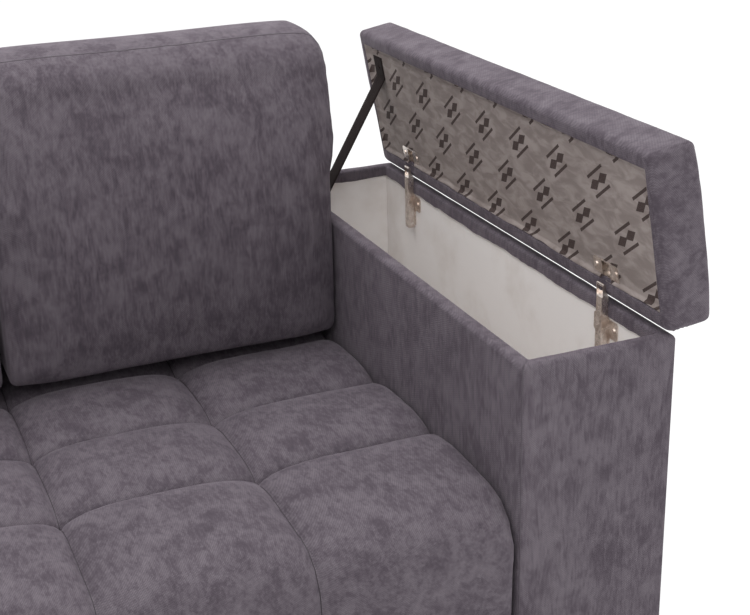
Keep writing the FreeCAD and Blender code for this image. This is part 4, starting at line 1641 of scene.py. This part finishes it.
    def puckers(self, s: np.ndarray, x: np.ndarray, seams: Sequence[float],
                marks: Sequence[float]) -> np.ndarray:
        """Small gathers that run out from the seams, their grooves, and the pad's own softness.

        Args:
            s: length of each point from the rear.
            x: X of each point.
            seams: X of the lengthwise seams.
            marks: lengths of the crosswise seams.

        Returns:
            How far each point moves outwards.
        """
        to_column = np.min(np.abs(x[:, None] - np.array(seams)[None, :]), axis=1)
        to_row = np.min(np.abs(s[:, None] - np.array(marks)[None, :]), axis=1)
        probe = np.column_stack([x, s, np.zeros(len(s))])
        by_rows = ripple(probe * np.array([1.0, 0.25, 1.0]), 70.0, 1.0) * np.exp(-to_row / 0.016)
        by_columns = ripple(probe * np.array([0.25, 1.0, 1.0]), 70.0, 2.0) * np.exp(-to_column / 0.014)
        gather = by_rows * 0.0011 + by_columns * 0.0010
        groove = -0.0016 * (np.exp(-((to_row / 0.0022) ** 2)) + np.exp(-((to_column / 0.0022) ** 2)))
        broad = ripple(probe, 11.0, 3.0) * 0.0016 + ripple(probe, 30.0, 4.0) * 0.0006
        return gather + groove + broad * smooth(np.minimum(to_row, to_column), 0.0, 0.03)


# Back


@dataclass
class BackCushion:
    """One loose back cushion, swollen by its filling from a slightly smaller form."""

    side: Side
    wardrobe: Wardrobe
    nodes: dict[str, bpy.types.Object]
    voxel: float = 0.007
    shrink: float = 0.001
    cap: float = 0.005
    frames: int = 20
    inner: float = 0.0015
    outer: float = 0.5335
    front: float = 0.1345
    rear: float = 0.3446
    foot: float = 0.4312
    top: float = 0.9300
    face: float = 0.30
    spread: float = 0.0120
    spread_heights: tuple[float, float] = (0.695, 0.765)
    fuller: tuple[float, float, float] = (1.30, 1.0, 1.16)
    seam_radius: float = 0.0009

    def build(self) -> bpy.types.Object:
        """Makes the cushion.

        Returns:
            Its mesh object.
        """
        name = f"back_cushion_{self.side.word}"
        source = self.nodes[name]
        piece = bpy.data.objects.new(f"{name}_cloth", source.data.copy())
        bpy.context.collection.objects.link(piece)
        piece.data.transform(source.matrix_world)
        recalculated(piece, 1e-5)
        remesh = piece.modifiers.new("even", "REMESH")
        remesh.mode = "VOXEL"
        remesh.voxel_size = self.voxel
        relax = piece.modifiers.new("relax", "SMOOTH")
        relax.factor = 0.5
        relax.iterations = 4
        baked(piece)
        self.inflate(piece)
        finer = piece.modifiers.new("finer", "SUBSURF")
        finer.levels = finer.render_levels = 1
        baked(piece)
        self.fit(piece)
        return finish_piece(piece, "sofa", self.wardrobe.upright, [name])

    def inflate(self, piece: bpy.types.Object) -> None:
        """Runs a short pressure simulation and keeps each point within a cap of its start.

        Args:
            piece: the cushion, changed in place.
        """
        mesh = piece.data
        start = vectors_of(mesh)
        mesh.vertices.foreach_set("co", (start - vectors_of(mesh, "normal") * self.shrink).ravel())
        cloth = piece.modifiers.new("filling", "CLOTH")
        settings = {"use_pressure": True, "uniform_pressure_force": 4.0, "quality": 6, "mass": 0.4,
                    "tension_stiffness": 18.0, "compression_stiffness": 12.0, "bending_stiffness": 0.35}
        for key, value in settings.items():
            setattr(cloth.settings, key, value)
        cloth.settings.effector_weights.gravity = 0.0
        cloth.point_cache.frame_start = 1
        cloth.point_cache.frame_end = self.frames
        scene = bpy.context.scene
        for frame_number in range(1, self.frames + 1):
            scene.frame_set(frame_number)
        graph = bpy.context.evaluated_depsgraph_get()
        swollen = bpy.data.meshes.new_from_object(piece.evaluated_get(graph), depsgraph=graph)
        piece.modifiers.clear()
        move = vectors_of(swollen) - start
        scale = np.minimum(1.0, self.cap / np.maximum(np.linalg.norm(move, axis=1), TINY))
        mesh.vertices.foreach_set("co", (start + move * scale[:, None]).ravel())
        mesh.update()
        bpy.data.meshes.remove(swollen)
        scene.frame_set(1)

    def fit(self, piece: bpy.types.Object) -> None:
        """Fits the cushion to its room, boxes its edges fuller and adds the gathers along them.

        Args:
            piece: the cushion, changed in place.
        """
        mesh = piece.data
        points = vectors_of(mesh)
        sign = self.side.value
        low, high = points.min(axis=0), points.max(axis=0)
        x_ends = (self.inner, self.outer) if sign > 0 else (-self.outer, -self.inner)
        for axis, (start, end) in enumerate((x_ends, (self.front, self.rear), (self.foot, self.top))):
            share = (points[:, axis] - low[axis]) / (high[axis] - low[axis]) * 2 - 1
            share = np.sign(share) * (1 - np.clip(1 - np.abs(share), 0, 1) ** self.fuller[axis])
            points[:, axis] = start + (share + 1) / 2 * (end - start)
        # Over the armrest the cushion's outer side spreads a little
        outer = smooth(np.abs(points[:, 0]), 0.40, self.outer)
        points[:, 0] += sign * outer * (self.spread * smooth(points[:, 2], *self.spread_heights) - 0.0005)
        from_side = np.abs(self.outer - np.abs(points[:, 0]))
        wrinkle = ripple(points * np.array([0.6, 1.0, 1.0]), 30.0, 6.0 + sign) * 0.0016
        points[:, 1] += wrinkle * np.exp(-from_side / 0.045) * (points[:, 1] < self.face)
        tuck = ripple(points * np.array([1.0, 0.5, 0.5]), 34.0, 9.0 + sign) * 0.0020
        points[:, 1] += tuck * np.exp(-(points[:, 2] - self.foot) / 0.035) * (points[:, 1] < self.face)
        mesh.vertices.foreach_set("co", points.ravel())
        mesh.update()

    def seam(self, piece: bpy.types.Object) -> bpy.types.Object:
        """Makes the sewn seam just behind the cushion's front edge.

        Args:
            piece: the finished cushion.

        Returns:
            The cord's mesh object.
        """
        sign = self.side.value
        run = [Vector((sign * 0.560, 0.185, z)) for z in np.linspace(0.47, 0.875, 90)]
        run += [Vector((sign * (0.50 + 0.08 * math.cos(angle)), 0.195, 0.875 + 0.085 * math.sin(angle)))
                for angle in np.linspace(0, math.pi / 2, 24)[1:]]
        run += [Vector((sign * x, 0.195, 0.960)) for x in np.linspace(0.49, 0.05, 60)]
        cord = tube(f"{piece.name}_seam", pinned(piece, run, -0.0001), self.seam_radius)
        return finish_piece(cord, "sofa", self.wardrobe.thread)


@dataclass
class BackFrame:
    """The cover over the back's frame."""

    wardrobe: Wardrobe
    half_width: float = 0.533
    front: float = 0.345
    low: float = 0.0602
    top: float = 0.840
    radius: float = 0.005

    def build(self) -> bpy.types.Object:
        """Makes the cover.

        Returns:
            Its mesh object.
        """
        grid = BlockGrid(lines(-self.half_width, self.half_width, 0.020, 0.012, 0.003),
                         lines(self.front, HALF_DEPTH, 0.018, 0.012, 0.003),
                         lines(self.low, self.top, 0.020, 0.012, 0.003))
        points = grid.rounded(self.radius)
        flat = grid.box_points
        points[:, 1] -= np.abs(ripple(flat, 9.0, 2.0) * 0.0005) * (flat[:, 1] > HALF_DEPTH - NEAR)
        piece = mesh_object("back_cover_cloth", points, grid.faces)
        return finish_piece(piece, "sofa", self.wardrobe.upright, ["back_cover"])


@dataclass
class FrontApron:
    """The fabric over the low front rail."""

    wardrobe: Wardrobe
    front: float = -0.4462
    rear: float = -0.4240
    low: float = 0.0575
    top: float = 0.1868
    radius: float = 0.004

    def build(self) -> bpy.types.Object:
        """Makes the cover.

        Returns:
            Its mesh object.
        """
        grid = BlockGrid(lines(-SEAT_HALF, SEAT_HALF, 0.012, 0.006, 0.002),
                         lines(self.front, self.rear, 0.006, 0.004, 0.002),
                         lines(self.low, self.top, 0.010, 0.006, 0.002))
        piece = mesh_object("front_cover_cloth", grid.rounded(self.radius), grid.faces)
        return finish_piece(piece, "sofa", self.wardrobe.upright, ["front_cover"])


# Studio


@dataclass
class Studio:
    """Floor, lamps and the camera."""

    place: Vector = field(default_factory=lambda: Vector((-0.213, -1.8115, 1.320)))
    yaw: float = 22.36
    pitch: float = 21.81
    roll: float = -1.56
    lens: float = 67.03
    sensor: float = 36.0
    lamp_size: float = 2.2
    floor_seen: float = 0.74
    floor_glow: float = 1.19
    room_light: float = 0.54
    room_gloss: float = 0.36

    def build(self) -> None:
        """Sets the whole stage."""
        self.camera()
        self.floor()
        self.world()
        self.lamp("key", (-1.2, -2.8, 3.2), (0.3, 0.0, 0.5), 46.0)
        self.lamp("fill", (3.2, -2.2, 2.2), (0.4, 0.0, 0.5), 22.0)
        self.lamp("top", (0.2, 0.8, 3.2), (0.3, 0.1, 0.6), 52.0)
        bpy.context.scene.view_settings.view_transform = "Standard"

    def camera(self) -> None:
        """The photograph's viewpoint."""
        data = bpy.data.cameras.new("view")
        data.lens = self.lens
        data.sensor_width = self.sensor
        data.sensor_fit = "HORIZONTAL"
        camera = bpy.data.objects.new("view", data)
        bpy.context.collection.objects.link(camera)
        yaw, pitch, roll = (math.radians(v) for v in (self.yaw, self.pitch, self.roll))
        ahead = Vector((math.sin(yaw) * math.cos(pitch), math.cos(yaw) * math.cos(pitch), -math.sin(pitch)))
        level = Vector((math.cos(yaw), -math.sin(yaw), 0.0))
        up = level.cross(ahead)
        right = level * math.cos(roll) + up * math.sin(roll)
        upward = right.cross(ahead)
        turn = Matrix((right, upward, -ahead)).transposed().to_4x4()
        camera.matrix_world = Matrix.Translation(self.place) @ turn
        bpy.context.scene.camera = camera

    def floor(self) -> None:
        """A pale floor that keeps the sofa's shadow."""
        bpy.ops.mesh.primitive_plane_add(size=14.0, location=(0, 0, 0))
        floor = bpy.context.object
        floor.name = "studio_floor"
        bench = Bench("pale_floor")
        bench.feed(Base_Color=(*paint(246, 246, 246), 1.0), Roughness=0.9, Specular_IOR_Level=0.1)
        path = bench.node("ShaderNodeLightPath")
        seen = bench.out(path, "Is Camera Ray") * self.floor_seen
        glow = bench.node("ShaderNodeEmission", None, {"Color": (1, 1, 1, 1), "Strength": self.floor_glow})
        mixed = bench.node("ShaderNodeMixShader", None, {0: seen})
        bench.tree.links.new(bench.shader.outputs[0], mixed.inputs[1])
        bench.tree.links.new(glow.outputs[0], mixed.inputs[2])
        bench.tree.links.new(mixed.outputs[0], bench.output.inputs["Surface"])
        floor.data.materials.append(bench.material)

    def world(self) -> None:
        """Soft surrounding light, white where the camera looks at it and brighter in gloss."""
        world = bpy.data.worlds.new("soft_room")
        world.use_nodes = True
        bpy.context.scene.world = world
        tree = world.node_tree
        tree.nodes.clear()
        path = tree.nodes.new("ShaderNodeLightPath")
        seen = Signal(tree, path.outputs["Is Camera Ray"])
        glossy = Signal(tree, path.outputs["Is Glossy Ray"])
        direct = seen.above(0.5)
        light = tree.nodes.new("ShaderNodeBackground")
        strength = direct + (1.0 - direct) * (glossy * self.room_gloss + self.room_light)
        light.inputs["Color"].default_value = (1, 1, 1, 1)
        tree.links.new(strength.socket, light.inputs["Strength"])
        output = tree.nodes.new("ShaderNodeOutputWorld")
        tree.links.new(light.outputs[0], output.inputs["Surface"])

    def lamp(self, name: str, place: Sequence[float], target: Sequence[float], power: float) -> None:
        """Adds one square soft lamp.

        Args:
            name: its name.
            place: where it hangs.
            target: what it is aimed at.
            power: its power in watts.
        """
        data = bpy.data.lights.new(name, "AREA")
        data.shape = "SQUARE"
        data.size = self.lamp_size
        data.energy = power
        lamp = bpy.data.objects.new(name, data)
        bpy.context.collection.objects.link(lamp)
        lamp.location = place
        lamp.rotation_euler = (Vector(target) - Vector(place)).to_track_quat("-Z", "Y").to_euler()


def main() -> None:
    """Dresses the frame piece by piece."""
    logging.basicConfig(level=logging.INFO, format="%(message)s")
    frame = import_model()
    Studio().build()
    wardrobe = Wardrobe()
    wardrobe.dress_frame(frame["nodes"])
    stitches = StitchRun()
    for side in Side:
        arm = ArmBox(side, wardrobe)
        arm.build()
        arm.sewing()
        lid = LidPad(side, wardrobe, stitches)
        cover = lid.cover()
        lid.lining()
        lid.sewing(cover)
        StopStrap(side, wardrobe).build()
    SeatPad(wardrobe).build()
    for side in Side:
        cushion = BackCushion(side, wardrobe, frame["nodes"])
        cushion.seam(cushion.build())
    BackFrame(wardrobe).build()
    FrontApron(wardrobe).build()


if __name__ == "__main__":
    main()
